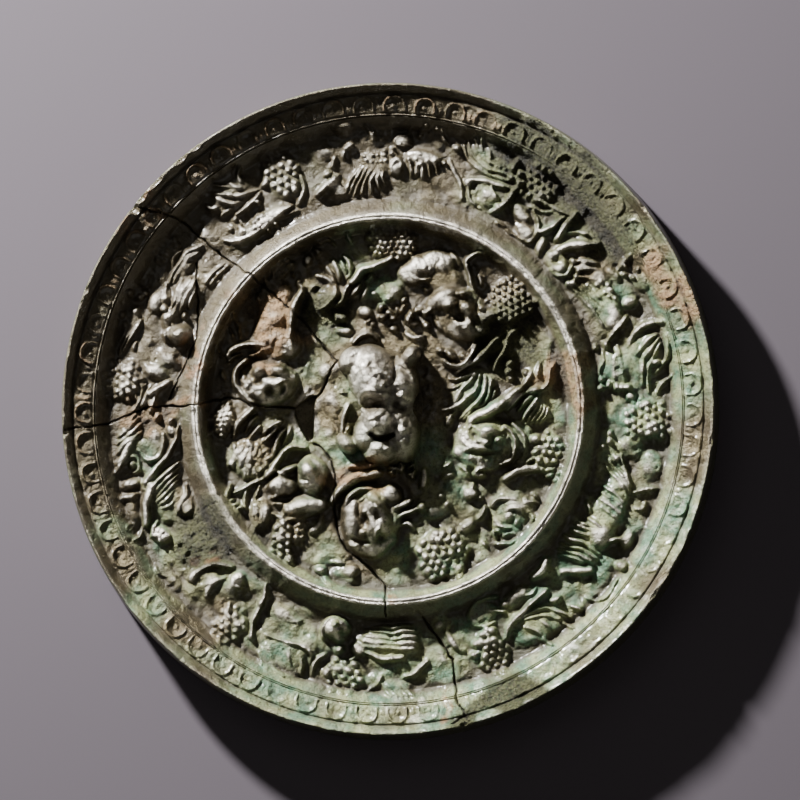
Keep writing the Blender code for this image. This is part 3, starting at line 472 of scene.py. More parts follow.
def lion_lower(r):
    """Lion at the bottom: broad round head framed by a vine, paw and berry on its right."""
    r.ridge([(-11.8, -19.4), (-10.9, -17.6), (-9.2, -16.0), (-6.8, -14.6), (-4.2, -13.9), (-1.4, -13.4)], 2.3,
            3.5, (0.8, 0.6))
    r.boss(-3.8, -23.4, 6.6, 8.0, 0, 4.0, power=0.4)
    r.boss(-3.6, -23.0, 5.2, 6.4, 0, 4.8, power=0.5)
    r.boss(-7.6, -22.6, 2.8, 5.2, -6, 4.6, power=0.5)
    r.ridge([(-9.4, -20.6), (-8.4, -18.2), (-6.2, -16.9), (-3.6, -16.6)], 1.4, 4.2)
    r.boss(0.4, -18.2, 2.8, 2.3, 0, 3.6)
    r.boss(-3.4, -20.8, 2.4, 2.0, 0, 5.2)
    r.over([(-6.0, -19.4), (-5.2, -18.9), (-4.6, -19.0)], 0.8, 0.7)
    r.add(-4.0, -19.7, 0.8, 0.5, -30, 0.8)
    r.add(-5.2, -21.6, 0.6, 0.5, 0, 0.8)
    r.add(-2.3, -20.9, 0.7, 0.6, 0, 0.5)
    r.add(-1.3, -24.1, 0.7, 0.5, -30, 0.7)
    r.over([(-2.0, -25.0), (-2.6, -26.0), (-2.4, -27.2)], 0.8, 0.8)
    r.add(-5.6, -26.4, 0.7, 0.5, -20, 0.6)
    r.add(-0.9, -22.6, 0.6, 0.5, 0, 0.5)
    r.swell(-4.9, -23.8, 0.8, 1.5, 10, -1.3)
    r.swell(-2.6, -23.4, 0.6, 1.0, 0, -0.8)
    r.swell(-1.7, -27.3, 0.9, 0.9, 0, -1.5)
    r.swell(-2.9, -21.6, 0.6, 0.9, 20, -0.7)
    r.swell(1.8, -26.0, 0.8, 1.3, 0, -1.0)
    r.add(-1.0, -28.1, 0.45, 0.35, 0, 0.5)
    r.over([(-7.8, -27.4), (-5.6, -28.2), (-3.8, -28.0)], 1.0, -1.0)
    r.over([(-9.0, -28.2), (-7.6, -28.8), (-6.2, -28.6)], 1.0, 0.6)
    r.over([(-0.4, -19.9), (0.5, -21.4), (0.6, -23.6)], 0.7, -0.7)
    r.ridge([(0.6, -21.8), (1.8, -20.6), (3.0, -19.9), (4.6, -19.0)], 2.1, 3.2)
    r.ridge([(1.4, -23.2), (2.8, -22.2), (4.6, -21.6), (6.0, -21.0)], 1.6, 2.6)
    r.boss(7.0, -20.8, 1.15, 1.3, 0, 3.2)
    r.ridge([(2.6, -24.4), (4.0, -24.0), (5.0, -25.0)], 1.2, 2.0)
    r.ridge([(-14.2, -34.2), (-13.2, -35.6), (-12.2, -36.8), (-10.2, -37.6)], 1.7, 2.2)
    r.boss(-14.4, -33.7, 1.5, 1.0, 0, 2.4)
    r.boss(-9.6, -34.6, 3.4, 2.0, 20, 1.4)
    r.boss(-8.6, -36.4, 2.0, 1.2, 10, 0.9)
    r.ridge([(-12.0, -32.2), (-10.4, -32.0), (-8.6, -32.2)], 1.2, 1.0)
    r.grapes(11.4, -30.6, 6.2, 5.2, 70, 2.6, 0.95, 1.75, seed=9)
    r.boss(14.6, -33.6, 1.6, 1.5, 0, 2.4)


def rosette(r):
    """Curled leaf at the lower right and the stem beside it."""
    r.boss(26.4, -22.8, 5.0, 5.2, 0, 1.6, power=0.4)
    r.ridge([(21.9, -20.6), (22.8, -19.4), (24.6, -18.9), (27.0, -19.0)], 0.9, 2.4)
    r.ridge([(25.0, -21.6), (26.2, -20.9), (27.8, -21.3), (28.4, -22.6)], 0.9, 2.8)
    r.ridge([(23.0, -24.2), (24.4, -24.7), (26.2, -25.1)], 0.9, 2.6)
    r.ridge([(22.2, -22.0), (22.8, -23.6), (23.8, -24.6)], 0.7, 1.9)
    r.ridge([(29.6, -21.8), (30.6, -22.6), (30.6, -24.2), (29.4, -25.4)], 1.1, 2.4)
    r.boss(25.6, -22.8, 1.2, 1.1, 0, 2.4)
    r.boss(27.4, -24.4, 0.9, 0.8, 0, 2.2)
    r.ridge([(30.8, -17.8), (31.4, -18.4), (31.8, -18.9)], 0.8, 2.6)
    r.boss(29.0, -19.0, 0.55, 0.5, 0, 2.3)
    r.ridge([(28.6, -19.8), (30.4, -19.6), (31.8, -20.2)], 1.0, 1.8)
    r.ridge([(22.8, -28.2), (25.0, -28.1), (27.0, -27.6), (29.2, -27.6)], 1.3, 2.4)
    r.ridge([(24.0, -26.6), (25.4, -26.2), (27.2, -26.6)], 0.8, 2.0)
    r.ridge([(22.2, -25.9), (22.4, -26.8), (22.9, -27.6)], 0.7, 2.4)
    r.boss(23.1, -25.7, 0.5, 0.4, 0, 2.2)
    r.ridge([(19.9, -28.1), (20.5, -28.6), (21.0, -29.1)], 0.6, 1.7)
    r.ridge([(20.6, -20.6), (20.1, -21.8), (19.2, -23.2)], 1.2, 2.6)
    r.boss(17.0, -18.0, 1.5, 1.3, 0, 2.2)
    r.boss(19.3, -18.5, 0.6, 0.5, 0, 1.9)
    r.ridge([(20.6, -12.3), (19.4, -12.8), (18.8, -13.8), (19.6, -14.4)], 1.3, 2.8)
    r.boss(20.1, -13.9, 0.7, 0.6, 0, 2.8)
    r.ridge([(18.1, -15.6), (17.9, -16.4), (17.4, -17.0)], 0.8, 2.2)
    r.ridge([(15.2, -12.0), (16.6, -12.8), (17.4, -14.0)], 1.2, 1.9)
    r.ridge([(11.6, -12.0), (12.4, -11.7), (13.3, -11.2)], 0.8, 2.4)
    r.ridge([(11.2, -14.4), (12.4, -13.8), (13.6, -13.4)], 0.9, 1.4)
    r.boss(11.1, -18.1, 0.7, 0.5, 0, 1.9)
    r.boss(12.4, -20.1, 0.8, 0.6, -20, 1.9)
    r.boss(16.8, -24.8, 2.0, 1.2, 30, 1.6)
    r.boss(10.4, -21.6, 2.6, 1.4, 10, 1.3)
    r.boss(20.6, -32.0, 3.4, 2.2, 20, 0.7)
    r.boss(16.4, -24.9, 1.0, 0.6, 0, 1.9)


def top_foliage(r):
    """Leaf, vine and tendrils above the knob."""
    r.ridge([(-18.4, 34.4), (-17.6, 35.8), (-16.4, 36.3), (-15.0, 35.9), (-14.1, 35.0)], 0.9, 2.2)
    r.ridge([(-14.0, 35.7), (-12.6, 36.1), (-11.3, 35.1)], 1.0, 2.2)
    r.ridge([(-15.6, 34.4), (-15.0, 33.9), (-15.0, 33.0)], 0.9, 2.4)
    r.boss(-17.0, 32.1, 1.15, 1.05, 0, 2.7)
    r.ridge([(-17.0, 36.0), (-17.8, 36.2), (-18.4, 35.2)], 0.5, 2.0)
    r.ridge([(-8.5, 37.4), (-8.5, 36.6), (-8.0, 35.6)], 1.1, 2.3)
    r.boss(-4.0, 36.5, 0.9, 0.6, 20, 1.8)
    r.boss(-13.2, 24.0, 3.6, 2.4, 62, 1.5, power=0.6)
    r.ridge([(-14.4, 21.4), (-13.2, 21.8), (-12.0, 22.8), (-11.2, 24.4), (-11.2, 26.4)], 1.0, 2.7)
    r.ridge([(-15.4, 28.7), (-14.0, 28.2), (-12.4, 27.2), (-11.4, 25.8)], 1.2, 2.2)
    r.ridge([(-13.2, 30.2), (-12.2, 28.6), (-11.2, 26.8)], 1.0, 1.9)
    r.ridge([(-11.6, 31.4), (-10.8, 29.2), (-10.4, 27.0)], 1.2, 2.2)
    r.ridge([(-9.6, 32.7), (-8.4, 31.2), (-8.2, 29.2), (-9.0, 27.6)], 1.1, 2.6)
    r.ridge([(-10.2, 31.8), (-9.4, 30.0), (-9.2, 28.2)], 0.9, 2.0)
    r.ridge([(-10.9, 22.0), (-9.8, 23.2), (-9.2, 25.0), (-8.4, 26.6)], 1.1, 2.6)
    r.ridge([(-16.4, 25.6), (-15.6, 26.4), (-14.8, 26.2)], 0.9, 1.6)
    r.ridge([(-8.0, 27.0), (-6.9, 28.3), (-5.4, 29.8), (-3.4, 30.6), (-1.4, 31.3), (0.2, 32.0)], 2.0, 3.6,
            (0.8, 0.7))
    r.ridge([(-6.2, 26.6), (-6.9, 25.4), (-7.8, 24.3)], 1.3, 2.8)
    r.ridge([(-4.4, 26.2), (-5.0, 24.8), (-5.9, 23.4)], 1.0, 2.4)
    r.boss(-3.5, 28.4, 0.9, 0.8, 40, 2.3)
    r.boss(-4.4, 27.6, 0.7, 0.7, 0, 2.4)
    r.boss(-3.2, 24.4, 0.7, 0.6, 0, 2.2)
    r.boss(-0.6, 25.4, 4.0, 3.0, 10, 1.1, power=0.6)
    r.boss(-10.8, 19.6, 1.0, 0.8, 90, 3.0)
    r.boss(-9.9, 19.6, 0.8, 0.9, 0, 3.1)
    r.boss(-9.6, 16.9, 1.9, 0.9, 0, 1.8)
    r.swell(-9.9, 18.3, 1.2, 0.5, 0, -0.8)
    for x, y, a, b, t, h in ((-0.2, 23.3, 1.0, 0.5, 20, 3.0), (-1.7, 21.7, 1.0, 0.8, 20, 3.3),
                             (-0.2, 20.5, 0.9, 0.7, 0, 3.2), (0.7, 19.6, 0.8, 0.6, 20, 3.0),
                             (-1.3, 19.5, 1.0, 0.8, 0, 3.3), (1.5, 21.2, 0.6, 1.0, 10, 3.2),
                             (3.3, 23.3, 0.9, 0.5, 60, 2.4), (4.1, 19.3, 1.0, 1.1, 0, 3.8),
                             (4.8, 20.2, 0.8, 0.8, 0, 3.4), (6.7, 20.9, 0.9, 0.6, 20, 3.0),
                             (7.8, 20.3, 0.8, 0.7, 0, 3.0), (8.7, 20.9, 0.8, 0.6, 0, 3.0),
                             (-4.4, 18.9, 0.6, 0.4, 30, 2.4), (-3.5, 17.9, 0.7, 0.6, 0, 2.8),
                             (-6.1, 21.2, 0.5, 0.4, 0, 2.2), (-5.2, 21.0, 1.4, 1.1, 0, 2.0),
                             (5.6, 18.2, 1.0, 0.7, 0, 2.4), (8.4, 17.8, 1.0, 0.9, 0, 2.4),
                             (0.8, 17.4, 1.0, 0.8, 0, 2.0), (-5.0, 16.2, 1.6, 1.0, 30, 1.8)):
        r.boss(x, y, a, b, t, h, fillet=0.15)
    r.ridge([(2.2, 20.6), (2.8, 21.6), (4.0, 22.4)], 0.9, 2.0)
    r.ridge([(-7.8, 14.4), (-6.4, 15.6), (-4.2, 15.8), (-2.6, 14.8)], 1.4, 3.0)
    r.ridge([(3.4, 16.2), (5.4, 15.4), (7.4, 15.6)], 1.2, 1.8)
    r.grapes(0.8, 35.4, 5.2, 3.8, 0, 2.5, 0.66, 1.3, seed=10)
    r.grapes(-22.4, 30.2, 3.0, 1.9, 30, 2.0, 0.55, 1.2, seed=12)


def beside_knob(r):
    """The beast's flank, its hind fur below the face and the ribs at its tail."""
    r.ridge([(-9.9, -5.0), (-9.6, -2.4), (-8.6, 1.0)], 1.6, 2.2)
    r.ridge([(-8.2, -12.2), (-5.0, -12.0), (-2.0, -11.4)], 1.8, 2.6)
    rng = np.random.default_rng(4)
    for k in range(30):
        u, v = rng.uniform(0.2, 5.6), rng.uniform(-15.2, -10.6)
        a, b = rng.uniform(0.35, 0.6), rng.uniform(0.25, 0.5)
        turn, rise = rng.uniform(0, 180), rng.uniform(2.6, 4.2)
        r.boss(u, v, a, b, turn, rise, fillet=0.1)
    for k in range(6):
        y = -13.2 - 0.62 * k
        r.ridge([(6.6 - 0.06 * k, y - 0.25), (7.5, y), (8.2 - 0.1 * k, y + 0.1)], 0.55, 3.0, fillet=0.1)
    r.boss(7.4, -14.9, 1.1, 2.2, 0, 2.6)

# %% [markdown]
# ## Birds, beasts and vines of the outer field
#
# The outer field is a ring, so its figures are set out by angle and by distance from the middle, as a caster
# would who turns the model under the tool. Wings and tails are fans of long rolls, grape bunches are studded
# mounds, and the vine runs between them from leaf to leaf.

# %% Set out figures round the ring
def arc(r, width, rise, *points, **shape):
    """Roll along points given as (degrees, millimetres from the middle)."""
    r.ridge(round_the_ring(points), width, rise, **shape)


def lump(r, angle, away, a, b=None, rise=2.0, turn=0, **shape):
    """Mound at an angle, a along the ring and b across it."""
    (x, y), = round_the_ring([(angle, away)])
    r.boss(x, y, a, b or a, angle - 90 + turn, rise, **shape)


def hollow(r, angle, away, a, b=None, depth=1.0):
    (x, y), = round_the_ring([(angle, away)])
    r.swell(x, y, a, b or a, angle - 90, -depth)


def seeds(r, size, rise, *places):
    """Round beads at (degrees, millimetres) places."""
    for angle, away in places:
        lump(r, angle, away, size, size * 0.9, rise, fillet=0.1)


def bunch(r, angle, away, a, b, rise, grape, pitch, seed, turn=0):
    (x, y), = round_the_ring([(angle, away)])
    r.grapes(x, y, a, b, angle - 90 + turn, rise, grape, pitch, seed)


def fan(r, width, rise, starts, ends, bow=0.0):
    """Feathers from one row of points to another, each bowed sideways by some degrees."""
    for (a0, r0), (a1, r1) in zip(starts, ends):
        arc(r, width, rise, (a0, r0), ((a0 + a1) / 2 + bow, (r0 + r1) / 2), (a1, r1), fillet=0.15)


# %% Model the right side, from the east round to the north
def east_bird(r):
    lump(r, 27.5, 51.6, 7.6, 3.0, 1.7, turn=-4, power=0.6)
    lump(r, 22.6, 51.6, 3.2, 2.2, 2.0, power=0.6)
    fan(r, 0.8, 2.3, [(34.6, 47.6), (34.2, 46.6), (33.4, 48.8), (32.0, 49.8)],
        [(23.0, 49.3), (21.0, 48.9), (24.0, 50.2), (26.8, 51.0)], 0.0)
    fan(r, 0.95, 2.2, [(38.7, 50.2), (37.3, 49.7), (36.0, 50.0), (35.2, 48.8), (36.8, 51.4)],
        [(35.2, 53.8), (34.4, 52.6), (33.6, 53.4), (32.6, 51.6), (34.6, 54.2)], 0.2)
    seeds(r, 0.8, 2.6, (38.8, 50.1), (36.0, 50.0), (35.3, 48.7), (34.7, 47.4), (35.3, 46.3))
    seeds(r, 0.5, 2.6, (29.2, 53.5), (28.1, 53.5), (28.2, 52.2), (27.0, 52.3), (26.2, 53.4), (30.9, 52.6),
          (30.7, 51.6))
    arc(r, 0.8, 2.5, (30.3, 50.3), (28.6, 50.5), (26.8, 50.9))
    arc(r, 1.1, 3.0, (21.3, 54.1), (19.8, 52.2), (18.3, 50.2), (17.2, 48.6))
    lump(r, 16.6, 48.0, 1.0, 0.9, 3.4)
    lump(r, 16.6, 45.7, 0.8, 0.7, 2.6)
    lump(r, 26.6, 60.0, 2.2, 1.8, 2.0)
    seeds(r, 0.6, 2.8, (28.2, 58.7), (29.5, 57.5), (31.1, 59.0), (29.3, 60.4))
    arc(r, 1.4, 2.4, (32.4, 60.6), (31.8, 58.4), (31.2, 57.0))
    hollow(r, 21.4, 56.2, 1.2, 1.7, 1.2)
    lump(r, 23.9, 56.0, 1.2, 1.8, 1.9)
    lump(r, 30.6, 55.4, 2.0, 1.2, 1.2)
    arc(r, 2.2, 2.9, (43.2, 49.4), (42.0, 51.4), (40.6, 54.0), (38.4, 56.8), ends=(0.8, 0.5))
    arc(r, 1.0, 1.9, (44.8, 53.6), (43.0, 55.4), (40.6, 57.0), (38.2, 57.4))
    lump(r, 41.3, 47.4, 2.7, 2.2, 2.2, power=0.35)
    hollow(r, 41.5, 47.5, 1.2, 1.0, 1.7)
    arc(r, 1.2, 2.2, (38.0, 49.4), (37.4, 47.4), (38.4, 45.8), (41.0, 45.2))


def east_leaf(r):
    lump(r, 12.0, 54.6, 5.6, 4.6, 1.5, turn=20, power=0.4)
    arc(r, 1.7, 2.7, (17.4, 61.0), (18.4, 58.8), (17.8, 56.2), (16.4, 54.4), (14.2, 52.4))
    arc(r, 1.0, 2.8, (15.4, 59.2), (15.0, 57.4), (13.8, 55.6), (12.2, 54.2))
    arc(r, 1.0, 2.8, (14.6, 59.4), (13.0, 57.0), (11.4, 55.2), (9.0, 54.4), (5.6, 54.1))
    arc(r, 1.0, 2.8, (13.6, 59.4), (11.6, 57.2), (9.4, 55.9), (6.4, 55.2), (3.6, 55.2))
    arc(r, 1.4, 2.7, (14.8, 60.9), (12.4, 60.7), (10.2, 59.8), (8.6, 58.2), (7.6, 56.8))
    arc(r, 0.9, 2.3, (6.8, 60.4), (5.4, 58.6), (3.4, 57.2))
    lump(r, 10.0, 57.6, 1.0, 1.2, 3.2)
    arc(r, 0.9, 2.2, (13.4, 49.8), (11.6, 48.8), (9.4, 48.2), (6.0, 48.2))
    arc(r, 0.9, 2.0, (15.6, 50.6), (12.4, 50.4), (9.4, 50.0), (6.6, 50.4))
    arc(r, 1.0, 2.2, (15.4, 46.9), (12.6, 46.8), (10.4, 45.7), (8.6, 45.7))
    lump(r, 10.4, 49.0, 4.6, 2.6, 1.4, power=0.6)
    seeds(r, 0.85, 2.8, (5.3, 51.0), (5.3, 49.8), (5.4, 48.7), (6.2, 46.7), (7.8, 45.6), (5.7, 45.3))
    lump(r, 2.7, 51.4, 1.3, 1.5, 2.2)
    arc(r, 1.3, 2.2, (1.6, 56.6), (0.8, 54.6), (0.2, 51.6))


def north_east_vines(r):
    arc(r, 1.6, 2.9, (59.2, 56.4), (60.2, 54.0), (60.4, 50.8), (61.6, 48.8), (62.8, 47.2))
    lump(r, 61.3, 49.0, 1.1, 1.0, 3.2)
    arc(r, 1.5, 2.6, (71.2, 50.6), (70.2, 51.9), (67.6, 52.6), (64.6, 53.2), (61.2, 53.8))
    lump(r, 70.6, 51.0, 1.2, 1.1, 2.9)
    lump(r, 66.2, 50.0, 3.4, 2.7, 1.9, power=0.6)
    arc(r, 0.7, 2.4, (65.0, 52.4), (63.7, 51.2), (62.7, 50.2))
    arc(r, 0.8, 2.2, (69.8, 52.0), (69.9, 49.6), (68.0, 47.4), (65.2, 46.8))
    bunch(r, 56.9, 57.4, 5.2, 3.9, 2.5, 0.78, 1.7, 21)
    seeds(r, 0.95, 3.2, (62.2, 59.2), (62.8, 57.7), (61.0, 57.3), (62.3, 55.8), (60.2, 55.6))
    lump(r, 56.0, 50.4, 3.0, 1.6, 2.2, turn=-12)
    lump(r, 52.4, 48.0, 2.7, 1.9, 2.2)
    arc(r, 1.0, 2.0, (54.0, 52.3), (51.0, 51.0), (49.7, 48.6), (50.2, 46.4), (55.2, 45.7), (60.0, 45.6))
    arc(r, 1.4, 3.1, (49.2, 49.8), (48.3, 52.2), (47.6, 55.4))
    arc(r, 1.8, 2.6, (46.4, 57.2), (46.1, 54.0), (45.6, 50.2))
    arc(r, 2.0, 2.2, (47.6, 48.6), (46.6, 46.6), (45.8, 45.8))
    arc(r, 1.0, 2.3, (55.4, 53.8), (52.6, 54.9), (49.4, 55.6), (46.4, 56.8))
    arc(r, 0.8, 1.7, (55.2, 52.6), (52.4, 53.4), (50.4, 54.4))
    lump(r, 52.4, 54.8, 0.7, 0.6, 2.7)
    lump(r, 68.6, 57.4, 4.8, 3.2, 1.4, power=0.4)
    arc(r, 0.9, 2.2, (74.2, 58.6), (72.8, 56.4), (70.4, 54.8), (66.8, 54.2), (62.4, 54.8))
    arc(r, 0.8, 2.2, (73.6, 59.6), (72.2, 57.6), (70.0, 56.0), (66.4, 55.2), (62.6, 56.2))
    arc(r, 0.8, 2.3, (72.2, 60.4), (70.6, 58.4), (68.6, 57.0), (66.2, 56.4))
    arc(r, 0.7, 2.5, (70.9, 60.6), (70.2, 59.0), (69.2, 57.8))
    arc(r, 0.8, 2.6, (69.0, 59.4), (68.4, 58.2), (67.8, 57.0))
    lump(r, 75.4, 57.5, 1.0, 0.8, 2.6)
    arc(r, 1.2, 1.6, (76.4, 54.6), (74.6, 52.4), (72.2, 50.0), (70.8, 47.4))


# %% Model the upper side, from the north round to the north-west
def north_bird(r):
    lump(r, 92.0, 52.4, 5.2, 3.0, 2.2, power=0.6)
    fan(r, 0.85, 2.7, [(96.6, 52.0), (95.8, 51.8), (94.8, 51.6), (93.8, 51.2), (92.8, 51.0), (91.8, 51.0),
                       (90.8, 51.0)],
        [(101.4, 47.2), (100.2, 46.6), (98.8, 46.0), (97.0, 46.0), (94.8, 46.2), (92.6, 47.4), (91.0, 48.4)],
        0.5)
    seeds(r, 0.5, 3.0, (95.5, 54.5), (93.6, 54.5), (92.4, 54.4), (91.1, 55.2), (91.0, 54.3), (90.6, 53.0),
          (91.6, 53.0), (92.7, 52.8), (93.9, 52.8), (95.1, 53.4), (89.8, 54.4), (89.5, 55.4))
    arc(r, 1.2, 3.3, (88.9, 50.2), (89.1, 52.0), (88.2, 53.3), (87.0, 52.4), (87.2, 50.6))
    lump(r, 88.0, 51.4, 1.3, 1.8, 2.7)
    fan(r, 0.75, 2.4, [(85.6, 54.0), (84.0, 53.6), (82.8, 53.2), (81.6, 53.6), (80.2, 53.8)],
        [(84.6, 50.0), (83.4, 50.2), (81.8, 49.8), (80.2, 50.2), (78.4, 51.2)], -0.3)
    seeds(r, 0.55, 2.9, (85.6, 53.6), (84.1, 53.6), (83.0, 54.9), (82.9, 52.8), (81.3, 53.6), (79.6, 53.8),
          (77.4, 53.6))
    lump(r, 82.4, 54.2, 4.0, 1.7, 1.9)
    lump(r, 86.9, 57.4, 2.0, 1.5, 2.2, power=0.4)
    arc(r, 0.7, 2.9, (88.4, 56.4), (88.9, 57.2), (88.0, 58.4), (86.4, 58.7), (85.2, 60.4))
    arc(r, 0.6, 2.7, (88.4, 56.3), (86.6, 56.2), (85.0, 56.4))
    seeds(r, 0.6, 2.4, (83.2, 59.6), (82.4, 60.6), (81.4, 59.4), (80.2, 60.4), (83.4, 58.6))
    arc(r, 0.8, 2.1, (79.2, 60.6), (78.6, 58.8), (77.2, 57.6))
    arc(r, 1.7, 3.2, (108.6, 48.3), (106.2, 48.9), (104.2, 49.8), (102.2, 51.0))
    for k in range(7):
        lump(r, 108.0 - 0.85 * k, 48.6 + 0.33 * k, 0.32, 0.8, 3.5, turn=30, fillet=0.1)
    lump(r, 103.6, 48.4, 3.4, 2.3, 1.9, power=0.6)
    lump(r, 104.3, 51.7, 0.9, 0.6, 2.4)
    arc(r, 0.7, 2.2, (103.2, 53.0), (102.6, 54.0), (101.8, 54.9))
    arc(r, 0.7, 2.2, (100.2, 54.1), (100.0, 55.2), (99.6, 56.3))
    arc(r, 0.9, 2.3, (99.6, 56.6), (98.8, 57.0), (97.8, 57.3))
    arc(r, 0.8, 2.2, (94.8, 60.6), (94.0, 59.2), (93.4, 57.8))
    arc(r, 0.7, 2.0, (93.6, 60.2), (93.2, 59.0), (93.8, 57.4))
    lump(r, 98.6, 60.4, 2.2, 1.5, 1.9)


def north_west_bird(r):
    bunch(r, 114.4, 55.2, 4.1, 6.0, 2.8, 0.8, 1.75, 22)
    arc(r, 1.2, 2.8, (120.2, 47.5), (118.0, 47.9), (115.0, 48.1))
    arc(r, 0.7, 2.0, (118.0, 46.8), (116.0, 46.8), (113.8, 46.8))
    arc(r, 1.1, 2.2, (113.6, 47.8), (111.6, 49.4), (110.4, 51.4), (110.2, 53.4))
    lump(r, 126.0, 56.6, 5.4, 3.4, 1.4, power=0.45)
    arc(r, 0.9, 2.8, (131.9, 58.4), (131.5, 57.0), (130.2, 56.6))
    arc(r, 0.9, 2.8, (129.0, 59.0), (128.7, 57.2), (127.4, 55.2), (125.2, 54.2))
    arc(r, 0.9, 2.9, (128.6, 59.2), (126.4, 56.8), (123.6, 55.2), (120.6, 54.6))
    arc(r, 0.9, 2.8, (127.4, 60.4), (126.2, 59.0), (125.4, 58.0))
    arc(r, 1.0, 2.8, (125.2, 59.0), (124.4, 57.6), (123.4, 56.8))
    arc(r, 1.1, 2.6, (122.9, 57.8), (122.8, 59.4), (121.6, 60.8))
    arc(r, 0.7, 2.4, (130.9, 54.6), (129.6, 54.7), (128.0, 54.6))
    arc(r, 0.9, 2.8, (127.8, 52.9), (125.2, 52.6), (122.6, 53.0), (120.6, 53.9))
    lump(r, 118.7, 54.8, 1.3, 0.7, 2.8)
    seeds(r, 0.6, 2.3, (131.2, 51.2), (129.1, 50.2), (128.7, 52.2), (122.3, 52.2))
    lump(r, 125.0, 47.9, 8.6, 1.9, 2.2, power=0.6)
    arc(r, 1.1, 2.8, (134.2, 50.2), (132.4, 48.4), (129.6, 47.5), (125.6, 47.0), (121.8, 47.3))
    lump(r, 129.4, 49.1, 1.4, 0.8, 2.8)
    seeds(r, 0.75, 2.8, (127.0, 48.2), (125.6, 47.9), (124.2, 48.1), (122.7, 47.9), (126.2, 49.2),
          (124.6, 49.4), (123.0, 49.2))
    seeds(r, 0.55, 2.4, (123.8, 45.9), (121.4, 45.9))


def west_beast(r):
    lump(r, 154.4, 54.2, 3.2, 2.2, 2.8, turn=-10)
    lump(r, 155.6, 52.4, 1.0, 0.8, 3.3)
    lump(r, 153.6, 53.2, 1.1, 0.7, 3.2)
    fan(r, 0.95, 2.8, [(155.4, 52.6), (155.6, 51.2), (155.4, 50.2), (154.8, 49.2), (153.2, 47.8)],
        [(150.2, 54.6), (147.6, 52.0), (146.0, 50.9), (145.6, 49.8), (147.6, 48.6)], 0.0)
    lump(r, 150.8, 50.2, 4.6, 2.2, 2.2, power=0.6)
    arc(r, 0.9, 2.6, (149.8, 54.0), (147.0, 54.7), (143.6, 54.6), (140.6, 53.9), (138.8, 52.8))
    arc(r, 0.9, 2.3, (149.6, 53.1), (146.4, 53.6), (143.0, 53.3), (140.4, 52.6))
    lump(r, 144.6, 53.4, 4.4, 1.8, 1.6, power=0.6)
    arc(r, 0.7, 2.1, (146.6, 55.4), (144.4, 56.2), (142.2, 55.6))
    bunch(r, 144.2, 58.6, 3.4, 2.6, 2.0, 0.6, 1.4, 23)
    lump(r, 160.0, 47.4, 2.5, 2.6, 4.3, power=0.42)
    arc(r, 1.4, 4.6, (159.4, 49.2), (160.5, 47.6), (160.4, 46.0))
    arc(r, 0.9, 2.8, (162.8, 49.4), (161.2, 50.2), (159.2, 49.8))
    lump(r, 157.4, 50.4, 2.4, 1.8, 2.4)
    seeds(r, 0.6, 3.0, (157.6, 51.3), (156.6, 50.8), (158.2, 49.4), (155.2, 48.2))
    lump(r, 167.4, 48.6, 3.0, 3.0, 1.7, power=0.6)
    arc(r, 0.8, 2.4, (168.0, 58.5), (165.8, 58.3), (163.8, 57.6))
    arc(r, 0.8, 2.4, (167.2, 57.6), (164.4, 57.0), (161.8, 56.4), (159.8, 56.0))
    arc(r, 0.7, 2.2, (165.4, 59.4), (163.6, 58.8), (162.2, 58.2))
    arc(r, 0.9, 2.2, (166.8, 55.5), (165.9, 55.7), (164.8, 55.6))
    seeds(r, 0.9, 2.7, (162.0, 59.3), (160.3, 60.0), (158.7, 57.8), (155.6, 58.4), (154.2, 57.8),
          (155.8, 60.3))
    lump(r, 161.4, 58.0, 4.0, 2.0, 1.4)
    lump(r, 155.0, 59.0, 1.8, 1.6, 1.6)
    arc(r, 0.7, 1.5, (145.4, 47.5), (141.6, 47.4), (137.8, 47.0))
    arc(r, 0.7, 1.2, (145.0, 46.3), (141.0, 46.4), (137.6, 46.0))


# %% Model the left side, from the west round to the south
def west_leaf(r):
    bunch(r, 173.6, 56.8, 4.6, 4.4, 2.5, 0.72, 1.6, 24)
    arc(r, 1.6, 2.4, (176.2, 50.6), (174.6, 48.9), (172.4, 47.0))
    lump(r, 170.4, 50.0, 1.9, 3.2, 1.9, power=0.6)
    fan(r, 0.8, 1.9, [(180.0, 54.0), (178.6, 52.6), (180.0, 50.8)],
        [(173.6, 51.8), (173.8, 50.4), (175.0, 48.6)], 0.0)
    lump(r, 188.2, 50.8, 3.6, 2.6, 1.9, power=0.45)
    arc(r, 1.0, 2.5, (189.0, 53.8), (191.4, 52.6), (191.6, 50.4), (189.4, 48.6), (186.0, 48.2))
    arc(r, 0.8, 2.4, (188.8, 52.0), (186.6, 51.4), (184.6, 51.0))
    arc(r, 0.7, 2.3, (188.0, 50.6), (186.0, 50.0), (184.2, 49.8))
    arc(r, 0.8, 2.3, (193.6, 56.2), (193.2, 54.6), (191.2, 54.4), (190.2, 55.8), (191.4, 57.2))
    lump(r, 191.9, 55.7, 0.9, 0.9, 2.1)
    fan(r, 0.85, 2.5, [(192.9, 59.4), (191.2, 58.8), (189.0, 58.2), (187.2, 58.0), (185.4, 57.6),
                       (184.2, 56.6)],
        [(187.6, 54.9), (186.0, 53.9), (184.6, 53.0), (183.0, 53.0), (181.6, 53.2), (180.8, 53.8)], 0.0)
    lump(r, 186.6, 55.4, 4.6, 2.8, 1.4, power=0.6)
    lump(r, 181.6, 49.4, 1.1, 0.6, 2.6)
    lump(r, 182.8, 46.8, 1.0, 0.8, 2.9)
    lump(r, 185.4, 46.4, 1.5, 1.3, 2.0)
    arc(r, 1.2, 2.9, (196.6, 54.2), (194.4, 51.8), (192.6, 49.4), (190.4, 47.2), (187.4, 45.6), (184.4, 44.8))


